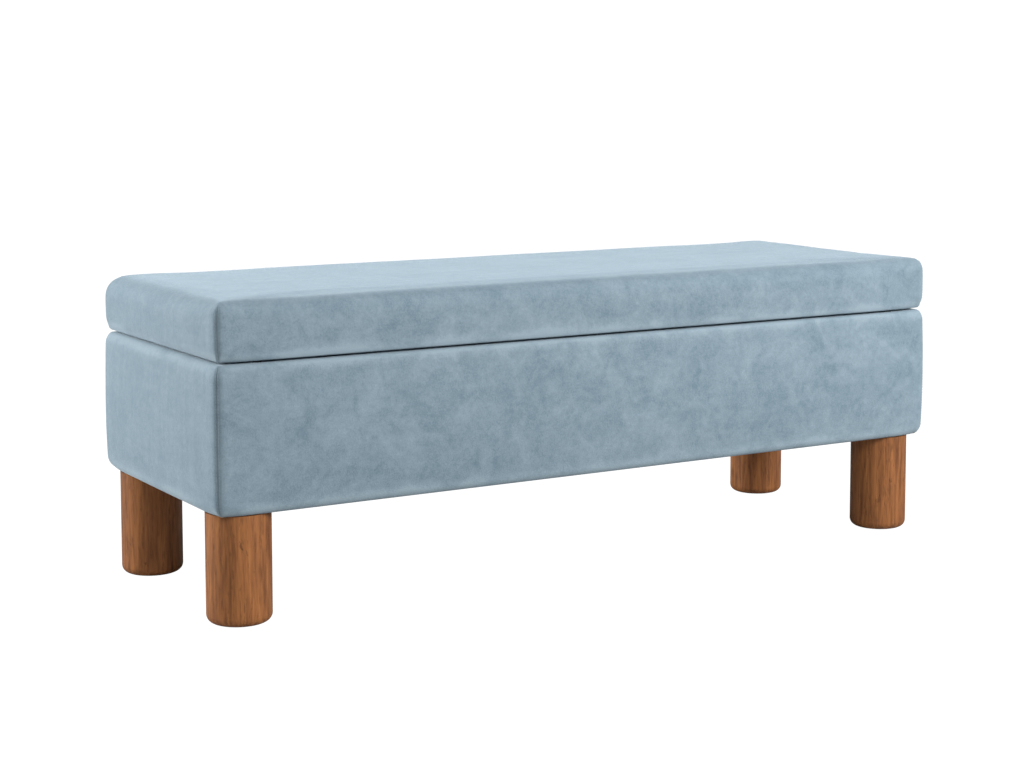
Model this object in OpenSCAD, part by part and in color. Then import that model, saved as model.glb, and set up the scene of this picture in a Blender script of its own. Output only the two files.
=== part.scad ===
// Upholstered storage bench: a padded box on four round legs, with a padded lid hinged along the rear.
// Millimetres. X runs along the bench, the front faces -Y, Z is up, and the origin is on the floor
// below the middle of the bench.

/* [Overall] */
// Length of the bench
bench_l = 1250; // [1000:10:1500]
// Depth of the bench, front to rear
bench_d = 440; // [360:10:540]
// Height of the underside of the box above the floor
leg_h = 157; // [100:1:200]
// Height of the upholstered box
box_h = 206.5; // [170:0.5:260]
// Height of the lid
lid_h = 83.5; // [66:0.5:110]
// Gap between the rim of the box and the closed lid
lid_gap = 3; // [3:0.1:4]
// How far the lid opens, in degrees
lid_open = 85; // [60:1:88]

/* [Legs] */
// Diameter of a leg
leg_dia = 91; // [72:1:100]
// Distance from the outside of the box to the middle of a leg
leg_inset = 54; // [50:1:80]
// Radius on the bottom edge of a leg
leg_foot_r = 12; // [3:0.5:14]
// Diameter of the felt pad under a leg
felt_dia = 54; // [20:1:60]
// Thickness of the felt pad
felt_t = 3; // [2:0.5:6]
// How far the felt pad stands out of the leg
felt_proud = 1.5; // [0.5:0.5:1.5]
// Diameter of the bolt between a leg and the box
bolt_dia = 8; // [6:1:10]
// Depth of the bolt in the leg
bolt_depth = 42; // [25:1:60]

/* [Wooden box] */
// Thickness of the side panels of the box
panel_t = 15; // [12:0.5:20]
// Thickness of the floor panel
floor_t = 15; // [12:0.5:20]
// Thickness of the lid board
board_t = 15; // [12:0.5:20]
// Width of a corner glue block along each wall
block_w = 28; // [15:1:28]

/* [Upholstery] */
// Thickness of the velvet
velvet_t = 1.2; // [0.8:0.1:2]
// Thickness of the padding on the sides
padding_t = 10.8; // [10:0.1:16]
// Thickness of the wadding over the lid
wadding_t = 10; // [6:0.5:15]
// Radius of the upright corners
corner_r = 14; // [13:0.5:30]
// Radius of the long edges of the box and of the lower edge of the lid
edge_r = 12; // [11:0.5:13]
// Radius of the upper edge of the lid
lid_top_r = 25; // [20:1:30]
// Width of velvet turned in under the box
box_turn = 30; // [28:1:36]
// Width of velvet turned in under the lid
lid_turn = 45; // [42:1:60]
// Thickness of the compartment lining
lining_t = 2; // [1:0.5:4]
// Thickness of the lining under the lid
lid_lining_t = 1; // [0.5:0.1:1.5]
// Distance of the lid lining from the outside of the lid
lid_lining_inset = 35; // [34:1:40]
// Thickness of the dust cover under the box
dust_t = 0.8; // [0.5:0.1:1.5]
// Distance of the dust cover from the outside of the box
dust_inset = 18; // [16:1:22]

/* [Hinge] */
// Distance of the hinge line from the rear of the bench
hinge_inset = 6; // [5.5:0.5:6.5]
// Radius of a hinge knuckle
knuckle_r = 2.5; // [2.2:0.1:2.5]
// Radius of the hinge pin
hinge_pin_r = 1.25; // [1:0.05:1.4]
// Thickness of a hinge leaf
leaf_t = 1; // [0.8:0.1:1]
// Length of one hinge knuckle, near enough
knuckle_pitch = 32; // [20:1:50]
// Distance of each end of the hinge from the end of the bench
hinge_end = 57; // [40:1:120]
// Number of screws in a hinge leaf
hinge_screws = 9; // [5:1:15]

/* [Lid stays] */
// Angle of the stay's lid pivot below the hinge line, in degrees
stay_lid_angle = 5.5; // [5:0.5:7]
// Angle of the stay's stud below the hinge line, in degrees
stay_stud_angle = 26; // [24:0.5:32]
// Gap between the stay arm and the floor of the compartment
stay_floor_gap = 8; // [5:1:30]
// Width of a stay arm
arm_w = 14; // [12:0.5:16]
// Thickness of a stay arm and its bracket
arm_t = 2; // [1.5:0.1:2.5]
// Radius of the stud and of the rivet
stud_r = 2.5; // [2:0.1:2.8]
// Clearance between the stud and the slot
slot_fit = 0.5; // [0.3:0.1:0.8]

/* [Hidden] */
$fn = 64;
past = 1;             // how far a cutter runs past what it cuts
screw_fit = 0.05;     // radial clearance round a screw or bolt in its own hole
pin_fit = 0.05;       // radial running clearance of the hinge pin and the rivets
velvet_fit = 0.1;     // clearance between the padding of the box and its velvet
side_gap = 0.3;       // sideways clearance between the moving pieces of a stay
knuckle_gap = 0.4;    // clearance between neighbouring knuckles
leaf_gap = 0.5;       // clearance between a leaf and the other leaf's knuckles

// Levels
rim_z = leg_h + box_h;
lid_z = rim_z + lid_gap;
top_z = lid_z + lid_h;
wood_z = leg_h + velvet_t;
wood_top = rim_z - velvet_t;
floor_z = wood_z + floor_t;
floor_top = floor_z + lining_t;
board_z = lid_z + velvet_t;
leg_top = leg_h - dust_t;

// Depths from the outside of the bench
wood_in = velvet_t + padding_t;
wall_in = wood_in + panel_t;
room_in = wall_in + lining_t;

// Legs and bolts
leg_x = bench_l / 2 - leg_inset;
leg_y = bench_d / 2 - leg_inset;
wood_thread_dia = bolt_dia - 1;
nut_wall = 1.25;
nut_rim = 7;
nut_short = 2;        // how far the barrel of a tee nut ends above the underside of the floor panel
nut_barrel_dia = bolt_dia + 2 * nut_wall;
nut_flange_dia = bolt_dia + 2 * nut_rim;
nut_flange_t = 1.6;
bolt_hole_dia = bolt_dia + 1;
nut_height = floor_t - nut_short;

// Screws and staples
frame_screw = [45, 4, 8];      // length, diameter, head diameter
hinge_screw = [14, 3, 5.6];
plate_screw = [12, 3, 5.6];
head_h = 1.3;
drive_w = 0.7;
drive_depth = 0.8;
screw_rows = 3;
floor_screws = 5;
screw_margin = 30;
floor_screw_end = 120;
end_screw_share = 0.25;
staple_w = 10;
staple_wire = 0.8;
staple_leg = 6;
staple_pitch = 120;

// Bumpers
bumper_dia = 12;
bumper_gap = 0.2;
bumper_end = 70;

// Hinge
hinge_y = bench_d / 2 - hinge_inset;
hinge_z = rim_z + lid_gap / 2;
hinge_l = bench_l - 2 * hinge_end;
knuckles = 2 * floor(hinge_l / knuckle_pitch / 2) + 1;
knuckle_l = hinge_l / knuckles;
leaf_edge = knuckle_r + leaf_gap;
leaf_w = wall_in - hinge_inset - leaf_edge;
hinge_screw_y = bench_d / 2 - wood_in - panel_t / 2;
hinge_screw_step = (hinge_l - 2 * screw_margin) / (hinge_screws - 1);

// Lid stays. The lid pivot and the stud are equally far from the hinge line, so that the arm
// turns by exactly half of the lid's angle, and its slot always points at the stud.
stay_lean = (stay_lid_angle + stay_stud_angle) / 2;
stay_split = stay_stud_angle - stay_lid_angle;
arm_end_r = arm_w / 2;
slot_r = stud_r + slot_fit;
slot_past = 1.5;
slot_wall = 3;
arm_tail = slot_past + slot_r + slot_wall;
stay_drop = hinge_z - floor_top - stay_floor_gap - arm_end_r;
stay_r = (stay_drop - arm_tail * cos(stay_lean))
    / (sin(stay_lid_angle) + 2 * sin((stay_split + lid_open) / 2) * cos(stay_lean));
reach_shut = 2 * stay_r * sin(stay_split / 2);
reach_open = 2 * stay_r * sin((stay_split + lid_open) / 2);
arm_l = reach_open + arm_tail;
pivot_y = hinge_y - stay_r * cos(stay_lid_angle);
pivot_z = hinge_z - stay_r * sin(stay_lid_angle);
stud_y = hinge_y - stay_r * cos(stay_stud_angle);
stud_z = hinge_z - stay_r * sin(stay_stud_angle);
arm_back_y = pivot_y + arm_l * sin(stay_lean) + arm_end_r;
arm_room = 2;         // clearance between an arm and a corner block
plate_t = 2;
collar_t = 1.5;
collar_r = 5;
stud_head_t = 1.5;
stud_head_r = 5.5;
rivet_head_r = 4.5;
rivet_head_t = 1.2;
stay_plate_w = 22;
stay_plate_h = 34;
stay_screw_gap = 24;
bracket_l = 40;
bracket_w = 20;
bracket_screw_gap = 26;
ear_r = 7;
bracket_z = lid_z - lid_lining_t - arm_t;
room_x = bench_l / 2 - room_in;
collar_x = room_x - plate_t;
arm_x = collar_x - collar_t - side_gap;
ear_x = arm_x - arm_t - side_gap;

// Flat section, w wide about the middle, from z0 to z1, with its upper and lower edges rounded
module section(w, z0, z1, upper_r, lower_r) {
    difference() {
        translate([-w / 2, z0]) square([w, z1 - z0]);
        for (side = [-1, 1]) {
            translate([side * w / 2, z1]) round_off(side, 1, upper_r);
            translate([side * w / 2, z0]) round_off(side, -1, lower_r);
        }
    }
}

// What a round of radius r takes off a corner that points to (sx, sy)
module round_off(sx, sy, r) {
    difference() {
        translate([sx > 0 ? -r : -past, sy > 0 ? -r : -past]) square(r + past);
        translate([-sx * r, -sy * r]) circle(r);
    }
}

// Padded block with round upright corners and round long edges
module soft_block(inset, z0, z1, upper_r, lower_r) {
    l = bench_l - 2 * inset;
    d = bench_d - 2 * inset;
    intersection() {
        translate([0, 0, z0 - past]) linear_extrude(z1 - z0 + 2 * past)
            section(l, -d / 2, d / 2, corner_r - inset, corner_r - inset);
        rotate([90, 0, 0]) linear_extrude(d + 2 * past, center = true)
            section(l, z0, z1, upper_r, lower_r);
        rotate([90, 0, 90]) linear_extrude(l + 2 * past, center = true)
            section(d, z0, z1, upper_r, lower_r);
    }
}

// Square-edged block, inset from the outside of the bench
module block(inset, z0, z1) {
    translate([inset - bench_l / 2, inset - bench_d / 2, z0])
        cube([bench_l - 2 * inset, bench_d - 2 * inset, z1 - z0]);
}

// Screw with its head at the origin and its shank along -Z, and the hole that it sits in
module screw(size) {
    drive_l = size[2] / 2;
    difference() {
        union() {
            translate([0, 0, -size[0]]) cylinder(h = size[0], d = size[1]);
            translate([0, 0, -head_h]) cylinder(h = head_h, d1 = size[1], d2 = size[2]);
        }
        for (turn = [0, 90])
            rotate(turn) translate([-drive_l / 2, -drive_w / 2, -drive_depth])
                cube([drive_l, drive_w, drive_depth + past]);
    }
}

module screw_hole(size) {
    shank_d = size[1] + 2 * screw_fit;
    head_d = size[2] + 2 * screw_fit;
    translate([0, 0, -size[0] - screw_fit]) cylinder(h = size[0] + past, d = shank_d);
    translate([0, 0, -head_h]) cylinder(h = head_h, d1 = shank_d, d2 = head_d);
    cylinder(h = past, d = head_d);
}

// Where the frame screws go: up each corner, and along the edges of the floor panel
module frame_screw_places() {
    wood_l = bench_l - 2 * wood_in;
    wood_d = bench_d - 2 * wood_in;
    row_step = (wood_top - floor_z - 2 * screw_margin) / (screw_rows - 1);
    first_row = floor_z + screw_margin;
    floor_step = (wood_l - 2 * floor_screw_end) / (floor_screws - 1);
    first_screw = floor_screw_end - wood_l / 2;
    floor_mid = wood_z + floor_t / 2;
    for (side = [-1, 1]) {
        for (end = [-1, 1], row = [0 : screw_rows - 1])
            translate([end * (wood_l - panel_t) / 2, side * wood_d / 2, first_row + row * row_step])
                rotate([-90 * side, 0, 0]) children();
        for (i = [0 : floor_screws - 1])
            translate([first_screw + i * floor_step, side * wood_d / 2, floor_mid])
                rotate([-90 * side, 0, 0]) children();
        for (end = [-1, 1])
            translate([side * wood_l / 2, end * wood_d * end_screw_share, floor_mid])
                rotate([0, 90 * side, 0]) children();
    }
}

module hinge_screw_places() {
    for (i = [0 : hinge_screws - 1])
        translate([(i - (hinge_screws - 1) / 2) * hinge_screw_step, hinge_screw_y, 0]) children();
}

module leg_places() {
    for (end = [-1, 1], side = [-1, 1])
        translate([end * leg_x, side * leg_y, 0]) children();
}

module both_ends() {
    for (end = [0, 1]) mirror([end, 0, 0]) children();
}

module leg(end, side) {
    h = leg_top - felt_proud;
    color("sienna") translate([end * leg_x, side * leg_y, felt_proud]) difference() {
        rotate_extrude($fn = 96) difference() {
            square([leg_dia / 2, h]);
            translate([leg_dia / 2, 0]) round_off(1, -1, leg_foot_r);
        }
        translate([0, 0, -past])
            cylinder(h = felt_t - felt_proud + past, d = felt_dia + 2 * screw_fit);
        translate([0, 0, h - bolt_depth])
            cylinder(h = bolt_depth + past, d = wood_thread_dia + 2 * screw_fit);
    }
}

module leg_pads() {
    color("dimgray") leg_places() cylinder(h = felt_t, d = felt_dia);
}

// A hanger bolt: coarse thread down into the leg, machine thread up through the tee nut
module hanger_bolts() {
    color("silver") leg_places() {
        translate([0, 0, leg_top - bolt_depth + past]) cylinder(h = bolt_depth - past, d = wood_thread_dia);
        translate([0, 0, leg_top]) cylinder(h = floor_z - nut_flange_t - leg_top, d = bolt_dia);
    }
}

module tee_nuts() {
    color("silver") leg_places() difference() {
        union() {
            translate([0, 0, floor_z - nut_height]) cylinder(h = nut_height, d = nut_barrel_dia);
            translate([0, 0, floor_z - nut_flange_t]) cylinder(h = nut_flange_t, d = nut_flange_dia);
        }
        translate([0, 0, wood_z]) cylinder(h = floor_t + past, d = bolt_dia + 2 * screw_fit);
    }
}

module floor_panel() {
    color("burlywood") difference() {
        block(wall_in, wood_z, floor_z);
        leg_places() {
            translate([0, 0, wood_z - past])
                cylinder(h = floor_t + 2 * past, d = nut_barrel_dia + 2 * screw_fit);
            translate([0, 0, floor_z - nut_flange_t])
                cylinder(h = nut_flange_t + past, d = nut_flange_dia + 2 * screw_fit);
        }
        frame_screw_places() screw_hole(frame_screw);
    }
}

// Front and rear panels run the full length and cover the ends of the side panels
module long_panel(side) {
    color("burlywood") difference() {
        translate([wood_in - bench_l / 2,
                side > 0 ? bench_d / 2 - wall_in : wood_in - bench_d / 2, wood_z])
            cube([bench_l - 2 * wood_in, panel_t, wood_top - wood_z]);
        frame_screw_places() screw_hole(frame_screw);
        if (side > 0) translate([0, 0, rim_z + leaf_t]) hinge_screw_places() screw_hole(hinge_screw);
    }
}

module end_panel(end) {
    color("burlywood") difference() {
        translate([end > 0 ? bench_l / 2 - wall_in : wood_in - bench_l / 2,
                wall_in - bench_d / 2, wood_z])
            cube([panel_t, bench_d - 2 * wall_in, wood_top - wood_z]);
        frame_screw_places() screw_hole(frame_screw);
        stay_stud_screw_places() screw_hole(plate_screw);
    }
}

// The rear blocks are notched where a stay arm would come too close to them
module corner_blocks() {
    color("tan") both_ends() difference() {
        for (side = [-1, 1])
            translate([bench_l / 2 - wall_in, side * (bench_d / 2 - wall_in), floor_z])
                linear_extrude(wood_top - floor_z)
                    polygon([[0, 0], [-block_w, 0], [0, -side * block_w]]);
        translate([arm_x - arm_t - arm_room, 0, floor_z - past])
            cube([arm_t + 2 * arm_room, arm_back_y + arm_room, wood_top - floor_z + 2 * past]);
    }
}

module frame_screws() {
    color("silver") frame_screw_places() screw(frame_screw);
}

module padding_ring() {
    inset = velvet_t + velvet_fit;
    difference() {
        soft_block(inset, wood_z, wood_top, edge_r - inset, edge_r - inset);
        block(wood_in, wood_z - past, wood_top + past);
    }
}

module long_padding(side) {
    color("ivory") intersection() {
        padding_ring();
        translate([-bench_l / 2, side > 0 ? bench_d / 2 - wood_in : -bench_d / 2, wood_z])
            cube([bench_l, wood_in, box_h]);
    }
}

module end_padding(end) {
    color("ivory") intersection() {
        padding_ring();
        translate([end > 0 ? bench_l / 2 - wood_in : -bench_l / 2, wood_in - bench_d / 2, wood_z])
            cube([wood_in, bench_d - 2 * wood_in, box_h]);
    }
}

// Velvet round the box, over the rim and turned in underneath
module box_velvet() {
    difference() {
        soft_block(0, leg_h, rim_z, edge_r, edge_r);
        soft_block(velvet_t, wood_z, wood_top, edge_r - velvet_t, edge_r - velvet_t);
        block(wall_in, wood_top - past, rim_z + past);
        block(box_turn, leg_h - past, wood_z + past);
    }
}

// The end covers wrap round the corners, and the seams lie where the front and rear turn flat
module long_cover(side) {
    color("lightsteelblue") difference() {
        intersection() {
            box_velvet();
            translate([corner_r - bench_l / 2, side > 0 ? 0 : -bench_d / 2, leg_h])
                cube([bench_l - 2 * corner_r, bench_d / 2, box_h]);
        }
        translate([wall_in - bench_l / 2, -bench_d / 4, leg_h - past])
            cube([bench_l - 2 * wall_in, bench_d / 2, box_h + 2 * past]);
        end_cover_field();
        if (side > 0) translate([0, 0, rim_z + leaf_t]) hinge_screw_places() screw_hole(hinge_screw);
    }
}

// The stretch of each end that belongs to the end covers
module end_cover_field() {
    both_ends() translate([bench_l / 2 - box_turn, corner_r - bench_d / 2, leg_h - past])
        cube([box_turn + past, bench_d - 2 * corner_r, box_h + 2 * past]);
    both_ends() translate([bench_l / 2 - corner_r, -bench_d / 2 - past, leg_h - past])
        cube([corner_r + past, bench_d + 2 * past, box_h + 2 * past]);
}

module end_cover(end) {
    color("lightsteelblue") intersection() {
        box_velvet();
        end_cover_field();
        translate([end > 0 ? 0 : -bench_l / 2, -bench_d / 2, leg_h]) cube([bench_l / 2, bench_d, box_h]);
    }
}

// Lining boards stand on the floor panel between the corner blocks
module long_lining(side) {
    color("slategray") translate([wall_in + block_w - bench_l / 2,
            side > 0 ? bench_d / 2 - room_in : wall_in - bench_d / 2, floor_top])
        cube([bench_l - 2 * wall_in - 2 * block_w, lining_t, wood_top - floor_top]);
}

module end_lining(end) {
    color("slategray") difference() {
        translate([end > 0 ? room_x : -bench_l / 2 + wall_in, wall_in + block_w - bench_d / 2, floor_top])
            cube([lining_t, bench_d - 2 * wall_in - 2 * block_w, wood_top - floor_top]);
        stay_stud_screw_places() screw_hole(plate_screw);
    }
}

module floor_lining() {
    color("slategray") difference() {
        block(wall_in, floor_z, floor_top);
        both_ends() for (side = [-1, 1])
            translate([bench_l / 2 - wall_in, side * (bench_d / 2 - wall_in), floor_z - past])
                linear_extrude(lining_t + 2 * past)
                    polygon([[past, side * past], [-block_w, side * past], [-block_w, 0],
                             [0, -side * block_w], [past, -side * block_w]]);
    }
}

module dust_cover() {
    color("dimgray") difference() {
        block(dust_inset, leg_top, leg_h);
        leg_places() translate([0, 0, leg_top - past])
            cylinder(h = dust_t + 2 * past, d = bolt_hole_dia);
    }
}

// A staple with its wire across X, driven up from z = 0
module staple() {
    translate([-staple_w / 2, -staple_wire / 2, -staple_wire]) cube([staple_w, staple_wire, staple_wire]);
    for (leg_at = [-staple_w / 2, staple_w / 2 - staple_wire])
        translate([leg_at, -staple_wire / 2, -staple_wire / 2]) cube([staple_wire, staple_wire, staple_leg]);
}

// Staples round a rectangle that lies inset from the outside, clear of its corners by margin
module staple_round(inset, z, margin) {
    along = bench_l - 2 * margin;
    across = bench_d - 2 * margin;
    nx = floor(along / staple_pitch);
    ny = max(1, floor(across / staple_pitch));
    for (side = [-1, 1]) {
        for (i = [0 : nx])
            translate([i * along / nx - along / 2, side * (bench_d / 2 - inset), z]) staple();
        for (i = [0 : ny])
            translate([side * (bench_l / 2 - inset), i * across / ny - across / 2, z]) rotate(90) staple();
    }
}

module dust_cover_staples() {
    color("silver") staple_round((dust_inset + wall_in) / 2, leg_top, leg_inset + leg_dia / 2 + staple_w);
}

module rim_bumpers() {
    color("black") for (i = [-1, 0, 1])
        translate([i * (bench_l / 2 - bumper_end), -hinge_screw_y, rim_z])
            cylinder(h = lid_gap - bumper_gap, d = bumper_dia);
}

// One leaf of the continuous hinge. up is -1 for the leaf on the box and 1 for the leaf on the lid.
module hinge_leaf(up, first) {
    plate_z = up > 0 ? lid_z - leaf_t : rim_z;
    difference() {
        union() {
            translate([-hinge_l / 2, hinge_y - leaf_edge - leaf_w, plate_z]) cube([hinge_l, leaf_w, leaf_t]);
            for (i = [first : 2 : knuckles - 1])
                translate([i * knuckle_l - hinge_l / 2 + knuckle_gap / 2, hinge_y, 0]) {
                    translate([0, -leaf_edge - past, plate_z])
                        cube([knuckle_l - knuckle_gap, leaf_edge + past, leaf_t]);
                    translate([0, 0, hinge_z]) rotate([0, 90, 0])
                        cylinder(h = knuckle_l - knuckle_gap, r = knuckle_r);
                }
        }
        translate([-hinge_l / 2 - past, hinge_y, hinge_z]) rotate([0, 90, 0])
            cylinder(h = hinge_l + 2 * past, r = hinge_pin_r + pin_fit);
        translate([0, 0, up > 0 ? plate_z : plate_z + leaf_t]) hinge_screw_places()
            rotate([up > 0 ? 180 : 0, 0, 0]) screw_hole(hinge_screw);
    }
}

module hinge_pin() {
    color("silver") translate([-hinge_l / 2, hinge_y, hinge_z]) rotate([0, 90, 0])
        cylinder(h = hinge_l, r = hinge_pin_r);
}

module hinge_box_screws() {
    color("silver") translate([0, 0, rim_z + leaf_t]) hinge_screw_places() screw(hinge_screw);
}

module hinge_lid_screws() {
    color("silver") translate([0, 0, lid_z - leaf_t]) hinge_screw_places()
        rotate([180, 0, 0]) screw(hinge_screw);
}

// Upright bar with round ends in the plane of an end wall, from z = 0 down to z = -l
module bar(l, r, t) {
    rotate([0, -90, 0]) {
        cylinder(h = t, r = r);
        translate([-l, 0, 0]) cylinder(h = t, r = r);
        translate([-l, -r, 0]) cube([l, 2 * r, t]);
    }
}

// The arm hangs from its lid pivot, leans to the rear, and has a slot for the stud
module stay_arm() {
    color("silver") translate([arm_x, pivot_y, pivot_z]) rotate([stay_lean, 0, 0]) difference() {
        bar(arm_l, arm_end_r, arm_t);
        translate([past, 0, slot_past - reach_shut])
            bar(reach_open - reach_shut + 2 * slot_past, slot_r, arm_t + 2 * past);
        translate([past, 0, 0]) rotate([0, -90, 0])
            cylinder(h = arm_t + 2 * past, r = stud_r + pin_fit);
    }
}

module stay_stud_screw_places() {
    both_ends() for (up = [-1, 1])
        translate([collar_x, stud_y, stud_z + up * stay_screw_gap / 2]) rotate([0, -90, 0]) children();
}

// Wall plate with a collar, the stud and its head
module stay_stud() {
    color("silver") difference() {
        union() {
            translate([collar_x, stud_y - stay_plate_w / 2, stud_z - stay_plate_h / 2])
                cube([plate_t, stay_plate_w, stay_plate_h]);
            translate([collar_x + past, stud_y, stud_z]) rotate([0, -90, 0]) {
                cylinder(h = past + collar_t, r = collar_r);
                cylinder(h = past + collar_t + arm_t + 2 * side_gap, r = stud_r);
                translate([0, 0, past + collar_t + arm_t + 2 * side_gap])
                    cylinder(h = stud_head_t, r = stud_head_r);
            }
        }
        stay_stud_screw_places() screw_hole(plate_screw);
    }
}

module stay_stud_screws() {
    color("silver") stay_stud_screw_places() screw(plate_screw);
}

module bracket_screw_places() {
    both_ends() for (along = [-1, 1])
        translate([ear_x - bracket_w / 2, pivot_y + along * bracket_screw_gap / 2, bracket_z])
            rotate([180, 0, 0]) children();
}

// Angle bracket under the lid: a flange, and an ear that carries the arm's rivet
module stay_bracket() {
    color("silver") difference() {
        union() {
            translate([ear_x - bracket_w, pivot_y - bracket_l / 2, bracket_z])
                cube([bracket_w, bracket_l, arm_t]);
            translate([ear_x - arm_t, pivot_y - ear_r, pivot_z])
                cube([arm_t, 2 * ear_r, bracket_z + arm_t - pivot_z]);
            translate([ear_x, pivot_y, pivot_z]) rotate([0, -90, 0]) cylinder(h = arm_t, r = ear_r);
        }
        translate([ear_x + past, pivot_y, pivot_z]) rotate([0, -90, 0])
            cylinder(h = arm_t + 2 * past, r = stud_r + pin_fit);
        bracket_screw_places() screw_hole(plate_screw);
    }
}

module stay_bracket_screws() {
    color("silver") bracket_screw_places() screw(plate_screw);
}

module stay_rivets() {
    shank = 2 * arm_t + 2 * side_gap;
    color("gray") both_ends() translate([arm_x + side_gap, pivot_y, pivot_z]) rotate([0, -90, 0]) {
        translate([0, 0, -rivet_head_t]) cylinder(h = rivet_head_t, r = rivet_head_r);
        cylinder(h = shank, r = stud_r);
        translate([0, 0, shank]) cylinder(h = rivet_head_t, r = rivet_head_r);
    }
}

module lid_board() {
    color("burlywood") difference() {
        block(wood_in, board_z, board_z + board_t);
        translate([0, 0, lid_z - leaf_t]) hinge_screw_places()
            rotate([180, 0, 0]) screw_hole(hinge_screw);
        bracket_screw_places() screw_hole(plate_screw);
    }
}

module lid_foam() {
    color("ivory") block(wood_in, board_z + board_t, top_z - velvet_t - wadding_t);
}

module lid_wadding() {
    color("white") difference() {
        soft_block(velvet_t, board_z, top_z - velvet_t, lid_top_r - velvet_t, edge_r - velvet_t);
        block(wood_in, board_z - past, top_z - velvet_t - wadding_t);
    }
}

module lid_cover() {
    color("lightsteelblue") difference() {
        soft_block(0, lid_z, top_z, lid_top_r, edge_r);
        soft_block(velvet_t, board_z, top_z - velvet_t, lid_top_r - velvet_t, edge_r - velvet_t);
        block(lid_turn, lid_z - past, board_z + past);
        translate([0, 0, lid_z - leaf_t]) hinge_screw_places()
            rotate([180, 0, 0]) screw_hole(hinge_screw);
        bracket_screw_places() screw_hole(plate_screw);
    }
}

module lid_lining() {
    color("slategray") difference() {
        block(lid_lining_inset, lid_z - lid_lining_t, lid_z);
        bracket_screw_places() screw_hole(plate_screw);
    }
}

module lid_lining_staples() {
    color("silver")
        staple_round(lid_lining_inset + staple_w / 2, lid_z - lid_lining_t, hinge_inset + stay_r + bracket_l);
}

leg(-1, -1);  // front_left_leg
leg(1, -1);  // front_right_leg
leg(-1, 1);  // rear_left_leg
leg(1, 1);  // rear_right_leg
leg_pads();
hanger_bolts();
tee_nuts();
floor_panel();
long_panel(-1);  // front_panel
long_panel(1);  // rear_panel
end_panel(-1);  // left_panel
end_panel(1);  // right_panel
corner_blocks();
frame_screws();
long_padding(-1);  // front_padding
long_padding(1);  // rear_padding
end_padding(-1);  // left_padding
end_padding(1);  // right_padding
long_cover(-1);  // front_cover
long_cover(1);  // rear_cover
end_cover(-1);  // left_cover
end_cover(1);  // right_cover
long_lining(-1);  // front_lining
long_lining(1);  // rear_lining
end_lining(-1);  // left_lining
end_lining(1);  // right_lining
floor_lining();
dust_cover();
dust_cover_staples();
rim_bumpers();
color("silver") hinge_leaf(-1, 0);  // hinge_box_leaf
hinge_pin();
hinge_box_screws();
mirror([1, 0, 0]) stay_stud();  // left_stay_stud
stay_stud();  // right_stay_stud
stay_stud_screws();
lid_board();
lid_foam();
lid_wadding();
lid_cover();
lid_lining();
lid_lining_staples();
color("silver") hinge_leaf(1, 1);  // hinge_lid_leaf
hinge_lid_screws();
mirror([1, 0, 0]) stay_bracket();  // left_stay_bracket
stay_bracket();  // right_stay_bracket
stay_bracket_screws();
stay_rivets();
mirror([1, 0, 0]) stay_arm();  // left_stay_arm
stay_arm();  // right_stay_arm
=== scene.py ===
"""Storage ottoman: velvet covers, stitching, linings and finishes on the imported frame."""
import math

import bmesh
import bpy
import numpy as np
from mathutils import Euler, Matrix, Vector, noise
from mathutils.bvhtree import BVHTree
from mathutils.kdtree import KDTree


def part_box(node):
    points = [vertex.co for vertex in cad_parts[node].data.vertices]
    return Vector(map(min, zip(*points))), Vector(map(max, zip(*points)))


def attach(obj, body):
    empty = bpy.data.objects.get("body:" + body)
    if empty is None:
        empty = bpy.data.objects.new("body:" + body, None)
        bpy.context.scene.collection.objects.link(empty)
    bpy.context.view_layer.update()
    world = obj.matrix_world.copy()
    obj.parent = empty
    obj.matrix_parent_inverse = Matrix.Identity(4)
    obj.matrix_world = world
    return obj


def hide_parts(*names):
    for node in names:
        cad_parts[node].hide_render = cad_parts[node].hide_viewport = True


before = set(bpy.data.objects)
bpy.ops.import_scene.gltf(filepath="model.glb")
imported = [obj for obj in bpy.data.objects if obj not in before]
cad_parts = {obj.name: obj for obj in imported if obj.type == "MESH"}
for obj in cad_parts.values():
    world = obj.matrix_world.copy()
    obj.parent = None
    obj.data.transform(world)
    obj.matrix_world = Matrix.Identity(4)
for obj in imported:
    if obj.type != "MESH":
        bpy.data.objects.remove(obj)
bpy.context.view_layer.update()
scene = bpy.context.scene

MM = 0.001

# ---------------------------------------------------------------- sizes of the soft work

CORNER = 14 * MM  # plan radius of the upright corners
EDGE = 12 * MM  # radius of the rim, the box's bottom edge and the lid's lower edge
TIGHT_EDGE = 6.5 * MM  # radius of the edges at the gap, along the middle of the long sides
LID_EDGE = 25 * MM  # radius of the lid's long top edges
LID_END_EDGE = 27 * MM  # radius of the lid's top edges at its ends
FRONT_SEAM_EDGE = 19 * MM  # radius of the lid's top edges at its front seams
REAR_SEAM_EDGE = 31 * MM  # and at its rear seams
END_TUCK = 7 * MM  # how much larger the edges at the gap are at the ends
CORNER_TUCK = 7 * MM  # how much larger the lower edges are at the corners
LID_CROWN = 1.2 * MM  # how much higher the lid's middle is than its edges
COVER_SLACK = 2.2 * MM  # how far the covers stand in at the corners
LID_SWELL = 3.0 * MM  # how far the lid's sides swell out between the corners
LID_END_SWELL = 5.5 * MM  # how far its ends do
BOX_SWELL = 2.6 * MM  # how far the box's sides do
CORNER_BOW = 2.6 * MM  # how far the upright seams bow out at mid height
VELVET_WRAP = 30 * MM  # how far the velvet turns in over the rim and under the bottom
LID_WRAP = 40 * MM  # how far the lid's velvet turns in under the board
VELVET = 1.1 * MM  # thickness of the velvet where it lies on wood
GAP_CLOSE = 0.95 * MM  # how far the rim and the lid's edge come together at the corners
END_CLOSE = 1.3 * MM  # how far they come together along the ends
GAP_OPEN = 0.2 * MM  # how far they stand apart from each other along the middle
SEAM_DEPTH = 1.0 * MM  # depth of the sewn groove
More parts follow.
